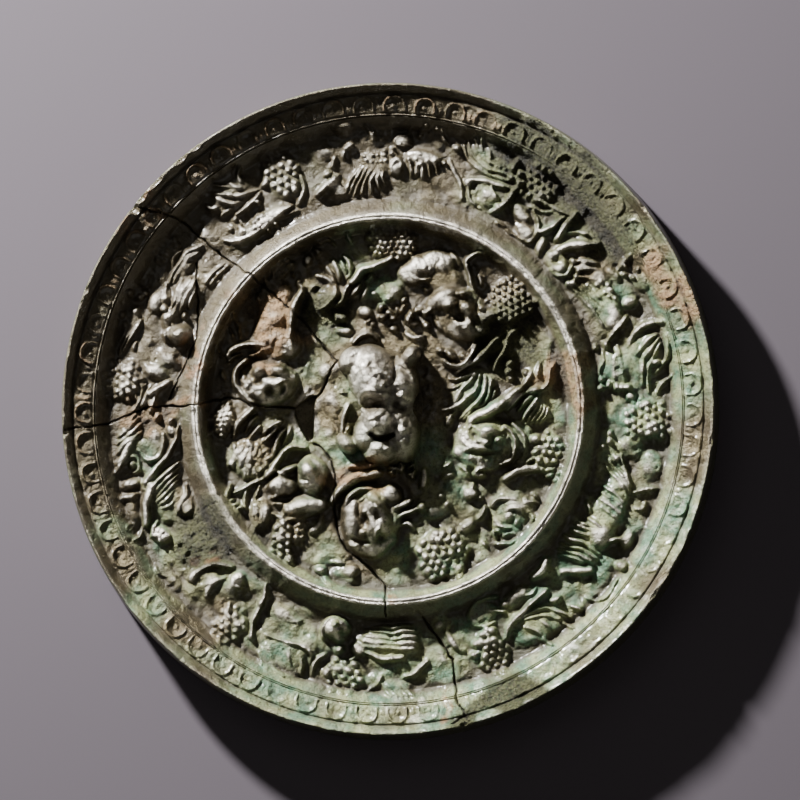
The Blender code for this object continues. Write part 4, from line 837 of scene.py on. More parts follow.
def south_west_bird(r):
    lump(r, 200.8, 52.0, 5.8, 3.4, 2.0, turn=12, power=0.6)
    lump(r, 203.6, 47.9, 3.6, 2.2, 2.0, turn=10, power=0.6)
    arc(r, 2.6, 3.5, (205.2, 57.2), (203.0, 56.2), (200.4, 55.0), (198.0, 53.0), (197.4, 51.8),
        ends=(0.6, 0.5))
    arc(r, 1.3, 3.1, (208.0, 57.2), (206.4, 56.0), (205.6, 54.6))
    fan(r, 0.95, 2.8, [(197.9, 53.2), (199.2, 53.0), (200.4, 52.9), (201.5, 52.9), (202.5, 52.7),
                       (203.4, 52.4), (196.4, 54.4)],
        [(193.6, 46.6), (195.0, 46.6), (196.8, 46.8), (198.6, 47.4), (200.6, 48.6), (202.6, 49.2),
         (191.6, 48.0)], 0.3)
    arc(r, 1.3, 2.7, (205.4, 49.6), (203.8, 48.0), (202.2, 46.4), (200.0, 45.8))
    lump(r, 208.6, 55.2, 2.3, 2.1, 2.7)
    seeds(r, 0.6, 3.1, (208.3, 56.5), (209.6, 54.9), (208.2, 54.6), (207.4, 55.5), (209.8, 56.2))
    hollow(r, 211.4, 55.8, 1.3, 2.2, 0.9)
    arc(r, 1.0, 2.1, (207.4, 60.8), (207.0, 59.2), (205.4, 58.4))
    arc(r, 0.8, 1.9, (204.8, 60.4), (204.0, 59.2), (203.6, 60.6), (204.6, 61.0))
    lump(r, 201.6, 58.8, 2.8, 1.4, 1.8)
    lump(r, 198.4, 58.2, 1.0, 2.2, 2.0)
    hollow(r, 197.8, 57.2, 0.5, 1.4, 0.9)
    lump(r, 195.8, 57.4, 1.3, 2.6, 2.1)
    arc(r, 1.7, 2.4, (220.8, 55.2), (220.2, 52.6), (221.0, 50.0), (223.0, 48.2), (225.4, 46.8))
    arc(r, 1.2, 1.8, (225.6, 55.6), (224.4, 52.8), (225.6, 50.0))
    lump(r, 223.4, 53.0, 2.2, 2.6, 1.2, power=0.6)
    arc(r, 1.0, 1.7, (217.6, 58.8), (215.4, 59.6), (213.2, 59.2))
    lump(r, 218.6, 58.8, 2.4, 1.6, 1.5)
    lump(r, 214.2, 50.6, 3.2, 2.0, 0.9, power=0.8)


def south_west_vine(r):
    arc(r, 1.1, 2.6, (238.7, 56.6), (237.6, 54.0), (237.0, 51.4), (236.6, 49.4), (236.0, 47.0), (235.2, 45.4))
    lump(r, 236.6, 49.6, 0.8, 0.9, 3.0)
    bunch(r, 233.4, 57.0, 2.9, 4.4, 2.3, 0.72, 1.6, 25)
    arc(r, 0.8, 2.4, (231.9, 55.4), (231.4, 54.4), (230.8, 53.2))
    lump(r, 228.2, 48.0, 1.6, 1.4, 1.9)
    arc(r, 0.7, 2.1, (230.4, 48.9), (228.4, 49.6), (226.8, 48.8), (226.9, 47.4))
    lump(r, 243.4, 49.4, 4.2, 2.4, 1.1, power=0.7)
    arc(r, 0.6, 1.6, (247.6, 48.2), (246.2, 49.3), (243.8, 49.9))
    lump(r, 246.8, 57.4, 5.4, 3.8, 1.7, power=0.35)
    for a, b, c in (((251.8, 59.2), (251.2, 57.2), (249.8, 55.4)),
                    ((249.2, 58.4), (248.2, 56.8), (246.6, 55.4)),
                    ((246.4, 59.2), (244.9, 58.0), (243.2, 56.4)),
                    ((248.4, 60.8), (246.6, 60.0), (244.8, 58.9)),
                    ((243.6, 60.2), (242.4, 59.2), (241.6, 58.2))):
        arc(r, 0.9, 2.5, a, b, c)
    arc(r, 0.9, 2.2, (252.8, 56.4), (252.0, 54.2), (249.2, 53.4), (245.6, 53.8), (241.4, 54.2))
    arc(r, 1.0, 2.8, (255.8, 53.6), (254.4, 54.9), (253.7, 56.6), (253.6, 58.6))
    lump(r, 257.0, 47.8, 3.0, 2.6, 3.4, power=0.42)
    hollow(r, 258.6, 48.8, 1.1, 0.8, 1.3)
    arc(r, 0.9, 3.2, (254.2, 50.4), (253.2, 48.6), (253.5, 46.6), (254.8, 45.5), (256.6, 45.3))
    lump(r, 256.1, 47.0, 0.9, 0.9, 4.4)
    lump(r, 257.6, 47.8, 0.9, 0.8, 4.0)
    lump(r, 258.2, 51.9, 1.0, 1.2, 3.0)
    arc(r, 0.8, 2.2, (262.3, 52.2), (261.8, 53.2), (261.0, 53.8))


# %% Model the lower side, from the south round to the east
def south_bird(r):
    bunch(r, 260.4, 57.4, 4.8, 3.4, 2.5, 0.85, 1.75, 26)
    arc(r, 1.3, 2.2, (268.2, 56.6), (267.2, 58.6), (265.2, 60.2))
    lump(r, 266.4, 57.6, 1.6, 1.8, 1.4)
    lump(r, 269.6, 49.4, 6.6, 3.2, 1.8, power=0.6)
    fan(r, 0.85, 2.6, [(276.2, 50.9), (276.6, 49.8), (276.4, 48.7), (276.6, 47.5), (276.2, 46.4)],
        [(263.8, 50.3), (263.4, 49.2), (263.6, 48.1), (263.4, 46.9), (265.4, 46.0)], 0.0)
    arc(r, 1.5, 2.8, (273.4, 52.4), (270.2, 52.8), (267.4, 52.5), (264.4, 51.6))
    lump(r, 262.6, 51.2, 1.8, 1.4, 2.3)
    arc(r, 1.1, 2.2, (278.8, 53.8), (277.2, 55.0), (275.2, 56.4), (273.2, 57.0))
    for k in range(5):
        arc(r, 0.9, 2.2, (275.0 - 1.1 * k, 60.8), (273.8 - 1.1 * k, 59.4), (272.8 - 1.1 * k, 58.2))
    lump(r, 271.6, 59.2, 3.4, 1.9, 1.4)
    arc(r, 1.6, 1.5, (287.2, 53.6), (285.4, 51.6), (285.2, 48.8), (286.4, 46.4))
    lump(r, 283.4, 46.8, 1.3, 1.2, 1.6)
    lump(r, 281.2, 53.6, 2.6, 2.4, 0.9, power=0.7)


def south_leaf(r):
    bunch(r, 292.9, 56.2, 3.4, 5.2, 2.6, 0.85, 1.7, 27)
    seeds(r, 0.9, 2.7, (293.3, 53.2), (291.9, 53.0), (292.5, 51.5), (294.0, 50.8), (295.4, 51.4),
          (290.2, 53.1), (289.2, 55.0))
    lump(r, 305.4, 55.6, 6.2, 3.6, 1.5, power=0.4)
    arc(r, 1.0, 2.9, (313.9, 59.0), (313.5, 57.4), (312.9, 56.2))
    arc(r, 1.0, 2.8, (311.2, 58.9), (310.8, 56.8), (309.2, 54.6), (306.6, 53.0), (303.4, 52.5), (300.8, 52.5))
    arc(r, 0.9, 2.7, (308.9, 57.4), (307.6, 55.4), (305.6, 53.9), (302.6, 53.1))
    arc(r, 0.9, 2.8, (306.7, 58.2), (306.2, 56.6), (305.9, 55.0))
    arc(r, 0.9, 2.7, (304.2, 58.0), (303.6, 56.0), (301.8, 54.2))
    arc(r, 0.9, 2.5, (304.6, 60.6), (304.0, 59.2), (304.2, 57.8))
    arc(r, 0.9, 2.5, (310.2, 60.8), (309.4, 59.4), (308.8, 58.2))
    lump(r, 311.2, 53.2, 1.3, 0.7, 2.8)
    arc(r, 1.5, 3.0, (311.0, 51.0), (307.4, 51.0), (304.4, 51.4), (301.0, 52.0), (298.4, 53.0), (297.2, 54.4))
    lump(r, 304.8, 48.0, 4.2, 1.9, 1.3, power=0.6)
    arc(r, 0.7, 1.9, (310.0, 48.7), (308.4, 49.2), (306.8, 48.7))
    lump(r, 300.6, 47.8, 1.1, 0.6, 2.5)
    lump(r, 294.2, 47.8, 3.4, 2.2, 1.9, power=0.5)
    arc(r, 0.8, 2.2, (299.8, 49.2), (298.0, 48.4), (296.2, 47.8), (294.4, 48.2))
    arc(r, 0.9, 2.4, (299.6, 46.0), (296.6, 45.2), (293.4, 45.6), (291.6, 47.4), (292.4, 49.4))
    arc(r, 0.7, 2.0, (296.8, 50.2), (293.8, 50.1), (291.6, 49.4))


def south_east_bird(r):
    lump(r, 334.6, 51.2, 8.8, 3.2, 2.0, power=0.6)
    lump(r, 329.6, 52.2, 3.6, 3.0, 2.9, power=0.6)
    fan(r, 1.1, 3.1, [(338.4, 53.6), (337.0, 53.8), (335.7, 53.8), (334.4, 52.9)],
        [(340.6, 48.4), (339.0, 48.4), (337.2, 48.4), (335.2, 49.4)], 0.1)
    fan(r, 0.85, 2.6, [(339.8, 54.0), (341.2, 54.0), (342.6, 53.6), (344.0, 52.8)],
        [(345.2, 48.2), (347.0, 48.4), (348.4, 49.0), (349.0, 50.0)], 0.2)
    arc(r, 1.3, 3.3, (331.0, 51.6), (331.3, 50.0), (331.5, 48.2))
    fan(r, 0.9, 3.0, [(330.2, 50.0), (328.8, 50.0), (327.1, 50.2), (325.4, 50.2)],
        [(329.4, 47.2), (328.3, 46.4), (326.6, 46.4), (324.3, 45.8)], 0.0)
    fan(r, 0.85, 2.6, [(325.6, 54.2), (324.4, 54.2), (323.2, 53.4), (322.0, 52.4)],
        [(324.2, 46.6), (322.2, 46.2), (320.6, 46.6), (319.4, 47.4)], 0.3)
    arc(r, 1.3, 3.7, (330.6, 56.6), (330.1, 55.4), (329.0, 54.4))
    lump(r, 331.2, 57.6, 2.2, 1.6, 2.2)
    hollow(r, 327.8, 57.4, 1.8, 1.6, 1.2)
    arc(r, 2.2, 2.7, (321.6, 54.4), (319.4, 52.6), (316.8, 50.6))
    arc(r, 1.0, 2.4, (323.4, 60.6), (319.4, 60.8), (317.4, 59.6), (316.2, 57.6))
    lump(r, 325.8, 59.4, 1.4, 1.3, 2.6)
    lump(r, 320.4, 57.8, 3.4, 2.2, 1.2, power=0.6)
    hollow(r, 313.6, 51.8, 1.9, 1.5, 1.0)
    arc(r, 2.4, 2.9, (316.2, 46.2), (313.6, 47.2), (311.0, 46.6))
    arc(r, 0.8, 1.9, (335.2, 46.4), (334.0, 47.2), (332.6, 48.0))
    arc(r, 1.1, 2.3, (343.6, 59.8), (342.8, 57.6), (341.9, 56.0), (341.2, 54.8))
    arc(r, 0.9, 1.9, (339.8, 58.0), (338.6, 58.0), (338.2, 56.6))
    lump(r, 347.8, 57.0, 3.4, 2.0, 1.6, power=0.6)
    lump(r, 351.6, 52.0, 2.2, 3.0, 1.4, power=0.6)
    lump(r, 347.9, 49.7, 0.8, 0.5, 2.4)
    seeds(r, 0.6, 2.2, (351.2, 47.2), (349.6, 46.0), (353.8, 47.0))
    bunch(r, 357.8, 55.0, 4.5, 5.6, 2.7, 0.82, 1.7, 28)


# %% [markdown]
# ## The scroll border
#
# On the band inside the rim runs a row of small clouds: each one a hood that opens towards the middle, with
# a sunk pocket under it and a berry in the pocket. One cloud is drawn from a roll, a dent and a pellet, and
# a loop stamps it round the band, each a little different, because on the real mirror they were pressed by
# hand and are worn. Their spacing was never quite even, so the angles run through a few measured ones.

# %% Stamp the clouds
CLOUDS = 62
CLOUD_ANGLES = np.interp(range(CLOUDS), [0, 6, 15, 17, 33, 39, 62],
                         [4.5, 42.2, 94.6, 106.2, 197.8, 231.3, 364.5])
BAND_MIDDLE = (BAND_INNER + BAND_OUTER) / 2


def scroll_border(r):
    rng = np.random.default_rng(62)
    for a in CLOUD_ANGLES:
        m = BAND_MIDDLE + rng.uniform(-0.1, 0.1)
        wear = 0.55 if 290 < a < 340 else 1.0
        rise = wear * rng.uniform(0.22, 0.46)
        wide = rng.uniform(1.7, 2.0)
        hood = [(a - wide, m - 1.5), (a - wide, m - 0.2), (a - 0.65 * wide, m + 1.1), (a, m + 1.5),
                (a + 0.65 * wide, m + 1.1), (a + wide, m - 0.2), (a + wide, m - 1.5)]
        pocket, berry, leaf = round_the_ring([(a, m + 0.15), (a + 0.2, m - 0.45), (a + 2.9, m - 0.7)])
        r.swell(*pocket, 1.25, 1.1, a, -0.27 * wear)
        r.over(round_the_ring(hood), 0.7, rise, (0.7, 0.7))
        r.add(*berry, 0.62, 0.55, a, 0.75 * rise)
        r.add(*leaf, 0.75, 0.55, a, 0.5 * rise)


# %% [markdown]
# ## The worn ground, the cracks and the losses
#
# The mirror came out of the earth in pieces and was joined again, so open cracks run across it from rim to
# rim, a splinter of the field is missing beside the knob, and the rim is chipped where cracks cross it.
# These belong to the object as it is now. The ground between the figures was never flat either, and
# corrosion has made it lumpy. Both are heights too: a crack is a deep cut along a broken line, and the
# ground is soft noise.

# %% Cut the cracks and the losses
CRACKS = [
    (0.24, [(-70.5, -4.7), (-59.7, -2.8), (-51.1, 0.7), (-42.1, 0.9), (-40.0, 1.3), (-36.0, 2.3),
            (-34.0, 2.6), (-32.0, 2.2), (-30.0, 1.5), (-26.5, 0.6), (-20.0, 0.4)]),
    (0.21, [(-54.3, 43.3), (-45.1, 41.0), (-35.0, 32.4), (-29.5, 28.8), (-27.8, 27.3), (-24.5, 24.6),
            (-22.0, 22.3), (-20.5, 20.8), (-18.8, 19.6), (-14.1, 14.0), (-13.6, 13.0), (-12.3, 11.5),
            (-11.1, 10.6), (-12.2, 8.5), (-13.0, 7.0), (-13.8, 4.8), (-15.0, 3.0)]),
    (0.18, [(-41.0, 31.5), (-40.6, 15.8), (-46.8, 2.2)]),
    (0.26, [(-15.9, -7.0), (-13.7, -8.5), (-12.3, -10.5), (-11.6, -13.0), (-11.3, -16.0), (-11.7, -19.0),
            (-11.3, -23.5), (-10.4, -27.7), (-8.8, -30.0), (-6.5, -31.5), (-4.6, -33.0), (-3.3, -34.5),
            (-2.0, -36.0), (-0.9, -37.2), (-0.5, -43.9)]),
    (0.30, [(7.0, -43.9), (10.4, -48.6), (13.5, -53.2), (14.6, -61.8), (18.2, -67.4)]),
    (0.26, [(13.5, -66.7), (16.2, -65.0)]),
]
CRACK_DEPTH = 1.2
LOSS = [(-20.0, 0.5), (-20.0, -1.0), (-18.7, -4.0), (-17.2, -6.7), (-16.2, -6.0), (-16.2, 0.0), (-15.6, 2.5),
        (-15.0, 3.0), (-16.5, 3.0)]
LOSS_DEPTH = 2.6


def wander(points, seed, amount=0.22):
    """A broken edge between the given points: it steps aside a little every millimetre."""
    rng = np.random.default_rng(seed)
    line = []
    for (ax, ay), (bx, by) in zip(points[:-1], points[1:]):
        steps = max(2, int(hypot(bx - ax, by - ay)))
        for t in np.linspace(0, 1, steps, endpoint=False):
            line.append((ax + t * (bx - ax) + rng.uniform(-amount, amount),
                         ay + t * (by - ay) + rng.uniform(-amount, amount)))
    return np.array(line + [points[-1]])


def cut_cracks(r):
    """Depth of the cracks, from 0 to 1, on the same table."""
    depth = np.zeros_like(r.lift)
    for seed, (width, points) in enumerate(CRACKS):
        line = wander(points, seed)
        win = r.window(line[:, 0], line[:, 1], 1.5)
        away, along = r.near(line, win)
        half = width / 2 * (1 + 0.35 * np.sin(along * 40 + seed))
        depth[win] = np.maximum(depth[win], np.clip(1.5 - away / half, 0, 1))
    return depth


def inside(r, outline):
    """1 inside an outline of straight edges and 0 outside, with a soft edge."""
    odd = np.zeros(r.lift.shape, bool)
    for (ax, ay), (bx, by) in zip(outline, outline[1:] + outline[:1]):
        if ay != by:
            crossing = ax + (r.y - ay) * (bx - ax) / (by - ay)
            odd ^= ((r.y > ay) != (r.y > by)) & (r.x < crossing)
    return softened(odd.astype(float), 0.17)


print("length of the cracks, mm:",
      [round(float(np.hypot(*np.diff(np.array(p), axis=0).T).sum())) for _, p in CRACKS])

# %% Make soft noise of a known size
def softened(field, size):
    """Blurs a table over about size millimetres."""
    fy = np.fft.fftfreq(field.shape[0], wax.step)[:, None]
    fx = np.fft.rfftfreq(field.shape[1], wax.step)[None, :]
    return np.fft.irfft2(np.fft.rfft2(field) * np.exp(-2 * (pi * size) ** 2 * (fx ** 2 + fy ** 2)),
                         s=field.shape)


def cloud(size, seed):
    """Soft noise with patches of about size millimetres, mean 0 and spread 1."""
    field = softened(np.random.default_rng(seed).normal(size=wax.lift.shape), size)
    return (field - field.mean()) / field.std()


def sampled(field, x, y):
    """Values of a table at any places, by straight lines between its points."""
    i = np.clip((np.asarray(x) + HALF) / wax.step, 0, field.shape[1] - 1.001)
    j = np.clip((np.asarray(y) + HALF) / wax.step, 0, field.shape[0] - 1.001)
    i0, j0 = i.astype(int), j.astype(int)
    u, v = i - i0, j - j0
    low = field[j0, i0] * (1 - u) + field[j0, i0 + 1] * u
    high = field[j0 + 1, i0] * (1 - u) + field[j0 + 1, i0 + 1] * u
    return low * (1 - v) + high * v


def eased(value, low, high):
    """0 below low and 1 above high, with a soft step between."""
    t = np.clip((value - low) / (high - low), 0, 1)
    return t * t * (3 - 2 * t)


# %% Heap up the whole back
INNER_FIGURES = [lion_left, lion_upper, lion_right, fan_leaf, lion_lower_left, left_leaf, lion_lower, rosette,
                 top_foliage, beside_knob]
OUTER_FIGURES = [east_bird, east_leaf, north_east_vines, north_bird, north_west_bird, west_beast, west_leaf,
                 south_west_bird, south_west_vine, south_bird, south_leaf, south_east_bird]


def model_the_back(r):
    """Lays every figure and lets casting and wear soften it all. Gives back the radius of every place."""
    for figure in INNER_FIGURES + OUTER_FIGURES:
        figure(r)
    radius = np.hypot(r.x, r.y)
    # No figure climbs the ring or the rim.
    keep = 1 - eased(radius, 60.6, 61.8)
    keep *= 1 - eased(np.minimum(radius - 38.2, 45.0 - radius), 0.0, 1.0)
    r.lift *= keep
    outer = eased(radius, 42, 46)
    # What is low in the mould fills less well, and no stroke is quite straight or sharp.
    r.lift *= 1 - (1 - eased(r.lift, 2.2, 4.6)) * (0.2 + 0.15 * outer)
    wander_x, wander_y = 0.16 * cloud(1.1, 1), 0.16 * cloud(1.1, 2)
    r.lift = sampled(r.lift, r.x + wander_x, r.y + wander_y)
    r.lift = 0.25 * r.lift + 0.75 * softened(r.lift, 0.2)
    r.lift += 0.3 * outer * (softened(r.lift, 0.36) - r.lift)
    # The ground is lumpy, and then pitted.
    on_the_ring = eased(np.minimum(radius - 38.4, 45.0 - radius), 0.0, 1.0)
    field = (1 - eased(radius, 59.5, 61.5)) * (1 - 0.7 * on_the_ring)
    r.lift += field * (0.24 * cloud(2.4, 3) + 0.17 * cloud(1.1, 8) + 0.07 * cloud(0.5, 4) + 0.15)
    scroll_border(r)
    r.lift += (0.055 * cloud(0.5, 5) + 0.06 * cloud(2.0, 6) * (radius > 39)
               - 0.2 * eased(cloud(0.42, 9), 1.0, 2.3))
    r.lift += 0.06 * cloud(0.9, 10) * eased(radius, 60.5, 62)
    return radius


radius = model_the_back(wax)
cracks = cut_cracks(wax)
loss = eased(inside(wax, LOSS), 0.3, 0.7)
wax.lift -= CRACK_DEPTH * cracks * (1 - loss)
wax.lift = wax.lift * (1 - loss) + (0.3 * cloud(0.6, 7) - LOSS_DEPTH) * loss
surface = profile_height(radius) + wax.lift
print("highest figure, mm:", round(float(surface[radius < 58].max()), 2))

# %% [markdown]
# ## The plate, the rim and the fields as meshes
#
# The turned parts are made the way a lathe sees them: a flat grid is added, one side of it is laid along
# the cross-section and the other is rolled round the middle, and the seams are merged. The grid's points
# then take their height from the table. The mirror is one casting, but one mesh of it would be too heavy to
# handle, so it is made in five pieces that meet in the turned lines and in two seams across the outer
# field. The rim's outer edge is chipped, so a second function says how high it may stand there.

# %% Start a new piece
def on_its_own(name, obj=None):
    """Names the newest object and leaves only it selected."""
    obj = obj or bpy.context.object
    bpy.ops.object.select_all(action="DESELECT")
    obj.select_set(True)
    bpy.context.view_layer.objects.active = obj
    obj.name = obj.data.name = name
    return obj


def edit(action, *args, **options):
    """Runs one edit-mode operator on the active object, with everything selected first."""
    bpy.ops.object.mode_set(mode="EDIT")
    bpy.ops.mesh.select_all(action="SELECT")
    action(*args, **options)
    bpy.ops.object.mode_set(mode="OBJECT")


def places(obj):
    flat = np.empty(len(obj.data.vertices) * 3)
    obj.data.vertices.foreach_get("co", flat)
    return flat.reshape(-1, 3)


def put(obj, where):
    obj.data.vertices.foreach_set("co", np.ascontiguousarray(where, dtype=float).ravel())
    obj.data.update()


def rolled(name, section, columns, first=0.0, turn=360.0, dips=(), worn=None):
    """Rolls a grid round the middle.

    section is a closed line of (radius, height), where a height of None takes the modelled surface. dips are
    (radius, way) at which the piece slips under its neighbour. worn(angle, radius) caps the height.
    """
    bpy.ops.object.select_all(action="DESELECT")
    bpy.ops.mesh.primitive_grid_add(x_subdivisions=len(section) - 1, y_subdivisions=columns, size=1)
    piece = on_its_own(name)
    flat = places(piece)
    across = np.rint((flat[:, 0] + 0.5) * (len(section) - 1)).astype(int)
    angle = np.radians(first + turn * (flat[:, 1] + 0.5))
    r = np.array([point[0] for point in section])[across]
    fixed = np.array([-1.0 if point[1] is None else point[1] for point in section])[across]
    x, y = r * np.cos(angle), r * np.sin(angle)
    z = profile_height(r) + sampled(wax.lift, x, y)
    for edge, way in dips:
        z = z - 0.5 * np.maximum((r - edge) * way, 0)
    z = np.where(fixed < 0, z, fixed)
    if worn is not None:
        z = np.minimum(z, worn(np.degrees(angle), r))
    put(piece, np.column_stack([x, y, z]) * MM)
    edit(bpy.ops.mesh.remove_doubles, threshold=1e-6)
    if turn < 360:
        bpy.ops.object.mode_set(mode="EDIT")
        bpy.ops.mesh.select_all(action="DESELECT")
        bpy.ops.mesh.select_mode(type="EDGE")
        bpy.ops.mesh.select_non_manifold(extend=False, use_wire=False, use_multi_face=False,
                                         use_non_contiguous=False, use_verts=False)
        bpy.ops.mesh.fill_holes(sides=0)
        bpy.ops.mesh.select_mode(type="VERT")
        bpy.ops.object.mode_set(mode="OBJECT")
    edit(bpy.ops.mesh.normals_make_consistent, inside=False)
    print(name, "faces:", len(piece.data.polygons))
    return piece


def steps(low, high, size):
    """Even steps from low to high, none longer than size."""
    return [float(r) for r in np.linspace(low, high, max(2, int(np.ceil((high - low) / size)) + 1))]


# %% Roll the plate with its rim, and the ring
JOIN_RIM = BAND_INNER - 0.2
JOIN_RING_INNER = 38.6
JOIN_RING_OUTER = 44.4
SLIP = 0.4
HIDDEN_FLOOR = 2.0
PLATE_TOP = 3.0

# Chips of the rim's edge: angle and half width in degrees, depth at the edge in millimetres.
CHIPS = [(141.7, 1.1, 2.6), (139.4, 1.5, 0.9), (135.2, 2.2, 0.7), (129.6, 1.8, 0.8), (126.3, 1.2, 0.5),
         (158.4, 0.9, 0.8), (184.2, 0.8, 1.1), (283.6, 1.0, 0.9), (61.0, 1.6, 0.5), (38.0, 1.2, 0.45),
         (-6.0, 1.3, 0.5), (-35.0, 1.7, 0.5)]
UNTOUCHED = 99.0


def chipped(angle, r):
    """How high the rim may stand: the chips fall away towards its outer edge."""
    bite = np.zeros_like(r)
    for middle, half, depth in CHIPS:
        away = (angle - middle + 180) % 360 - 180
        bite = np.maximum(bite, depth * np.clip(1.3 - 1.3 * np.abs(away / half), 0, 1))
    ragged = 1 + 0.25 * np.sin(angle * 7.3) * np.sin(angle * 3.1 + 1)
    inward = np.maximum(CREST_RADIUS - 0.2 - r, 0)
    return np.where(bite > 0, CREST_HEIGHT - bite * ragged + 0.9 * inward, UNTOUCHED)


rim_top = [(r, None) for r in steps(JOIN_RIM - SLIP, CREST_RADIUS, 0.2)]
side = [(CREST_RADIUS + 0.2, CREST_HEIGHT - 0.12), (CREST_RADIUS + 0.35, CREST_HEIGHT - 0.4)]
for z in steps(CREST_HEIGHT - 0.9, FOOT_ROUND, 0.75):
    share = (CREST_HEIGHT - z) / (CREST_HEIGHT - FOOT_ROUND)
    side.append((CREST_RADIUS + 0.35 + (SIDE_SLANT - 0.35) * share, z))
foot = [(RADIUS - FOOT_ROUND * (1 - cos(radians(a))), FOOT_ROUND * (1 - sin(radians(a))))
        for a in (30, 60, 90)]
face = [(60.0, 0.0), (40.0, 0.0), (20.0, 0.0), (0.0, 0.0)]
rim_section = [(0.0, PLATE_TOP), (JOIN_RIM - SLIP, PLATE_TOP)] + rim_top + side + foot + face
plate = rolled("plate_and_rim", rim_section, 1400, dips=[(JOIN_RIM, -1)], worn=chipped)

ring_top = [(r, None) for r in steps(JOIN_RING_INNER - SLIP, JOIN_RING_OUTER + SLIP, 0.2)]
ring_floor = [(JOIN_RING_OUTER + SLIP, HIDDEN_FLOOR), (JOIN_RING_INNER - SLIP, HIDDEN_FLOOR)]
ring = rolled("raised_ring", ring_top + ring_floor + ring_top[:1], 1250,
              dips=[(JOIN_RING_INNER, -1), (JOIN_RING_OUTER, 1)])

# %% Roll the outer field in two halves
outer_top = [(r, None) for r in steps(JOIN_RING_OUTER - SLIP, JOIN_RIM + SLIP, 0.2)]
outer_floor = [(JOIN_RIM + SLIP, HIDDEN_FLOOR), (JOIN_RING_OUTER - SLIP, HIDDEN_FLOOR)]
outer_section = outer_top + outer_floor + outer_top[:1]
SEAM_ANGLE = 141.2
outer_dips = [(JOIN_RING_OUTER, -1), (JOIN_RIM, 1)]
outer_halves = [
    rolled("outer_field_" + which, outer_section, 850, first, 180.0, outer_dips)
    for which, first in (("south_west", SEAM_ANGLE), ("north_east", SEAM_ANGLE + 180))
]

# %% Cut the inner field from a square grid
FIELD_PITCH = 0.228
INNER_EDGE = JOIN_RING_INNER + SLIP
cells = int(2 * INNER_EDGE / FIELD_PITCH)
bpy.ops.object.select_all(action="DESELECT")
bpy.ops.mesh.primitive_grid_add(x_subdivisions=cells, y_subdivisions=cells, size=2 * INNER_EDGE * MM)
inner_field = on_its_own("inner_field")
where = places(inner_field) / MM
far = np.hypot(where[:, 0], where[:, 1]) > INNER_EDGE
bpy.ops.object.mode_set(mode="EDIT")
bpy.ops.mesh.select_all(action="DESELECT")
bpy.ops.object.mode_set(mode="OBJECT")
inner_field.data.vertices.foreach_set("select", far)
bpy.ops.object.mode_set(mode="EDIT")
bpy.ops.mesh.delete(type="VERT")
bpy.ops.mesh.select_all(action="SELECT")
bpy.ops.mesh.region_to_loop()
bpy.ops.mesh.extrude_edges_move(TRANSFORM_OT_translate={"value": (0, 0, -MM)})
bpy.ops.mesh.edge_face_add()
bpy.ops.object.mode_set(mode="OBJECT")
where = places(inner_field) / MM
far = np.hypot(where[:, 0], where[:, 1])
z = profile_height(far) + sampled(wax.lift, where[:, 0], where[:, 1])
z = z - 0.5 * np.maximum(far - JOIN_RING_INNER, 0)
put(inner_field, np.column_stack([where[:, :2], np.where(where[:, 2] < -0.5, HIDDEN_FLOOR, z)]) * MM)
edit(bpy.ops.mesh.normals_make_consistent, inside=False)
print("inner_field faces:", len(inner_field.data.polygons))

# %% [markdown]
# ## The pierced beast in the middle
#
# The knob is the tallest thing on the mirror: a beast seen from above, lying across the cord hole, with a
# broad brow, a muzzle with heavy cheeks, and its flanks and legs below. It is modelled as a sculptor roughs
# out clay, from balls pressed together. The balls are joined by a voxel remesh, which melts them into one
# skin, the skin is smoothed, small features are raised and sunk on it, and an arched tunnel is cut through
# from side to side.

# %% Press the balls together
KNOB_BALLS = [
    # x, y, half axes a and b, turn, top height, ball middle height
    (-0.2, 0.4, 12.8, 7.4, 91, 12.6, 4.6),
    (-2.8, 6.4, 8.0, 5.8, 112, 15.2, 5.0),
    (2.2, 4.6, 6.8, 4.6, 90, 12.9, 5.0),
    (-7.4, 10.4, 3.6, 3.0, 35, 12.6, 5.4),
    (4.8, 11.2, 2.6, 1.9, 60, 12.2, 6.0),
    (-1.8, -2.6, 4.6, 4.2, 90, 14.8, 5.6),
    (2.8, -4.8, 7.0, 4.0, 95, 12.2, 4.6),
    (-4.4, -5.2, 4.0, 3.2, 80, 12.4, 5.2),
    (-1.2, -8.4, 4.6, 3.2, 10, 12.2, 5.0),
    (-9.4, -0.6, 5.8, 2.4, 92, 7.2, 4.0),
    (-8.9, -7.2, 2.8, 1.9, -40, 10.4, 5.4),
]
ROUNDING = 0.24


def ball(x, y, a, b, turn, top, middle):
    bpy.ops.object.select_all(action="DESELECT")
    bpy.ops.mesh.primitive_uv_sphere_add(segments=48, ring_count=24, radius=MM)
    one = bpy.context.object
    low = min(top - middle, middle - HIDDEN_FLOOR)
    where = places(one) / MM
    up = where[:, 2]
    c, s = cos(radians(turn)), sin(radians(turn))
    u, v = where[:, 0] * a, where[:, 1] * b
    z = np.where(up > 0, middle + up * (top - middle), middle + up * low)
    put(one, np.column_stack([x + u * c - v * s, y + u * s + v * c, z]) * MM)
    return one


balls = [ball(*shape) for shape in KNOB_BALLS]
bpy.ops.object.select_all(action="DESELECT")
for one in balls:
    one.select_set(True)
bpy.context.view_layer.objects.active = balls[0]
bpy.ops.object.join()
knob = on_its_own("knob_beast")
knob.data.remesh_voxel_size = ROUNDING * MM
bpy.ops.object.voxel_remesh()
print("knob_beast skin:", len(knob.data.vertices), "points")

# %% Smooth the skin and model the face
def smoothed(obj, factor, repeat):
    modifier = obj.modifiers.new("smooth", "SMOOTH")
    modifier.factor = factor
    modifier.iterations = repeat
    bpy.ops.object.modifier_apply(modifier=modifier.name)


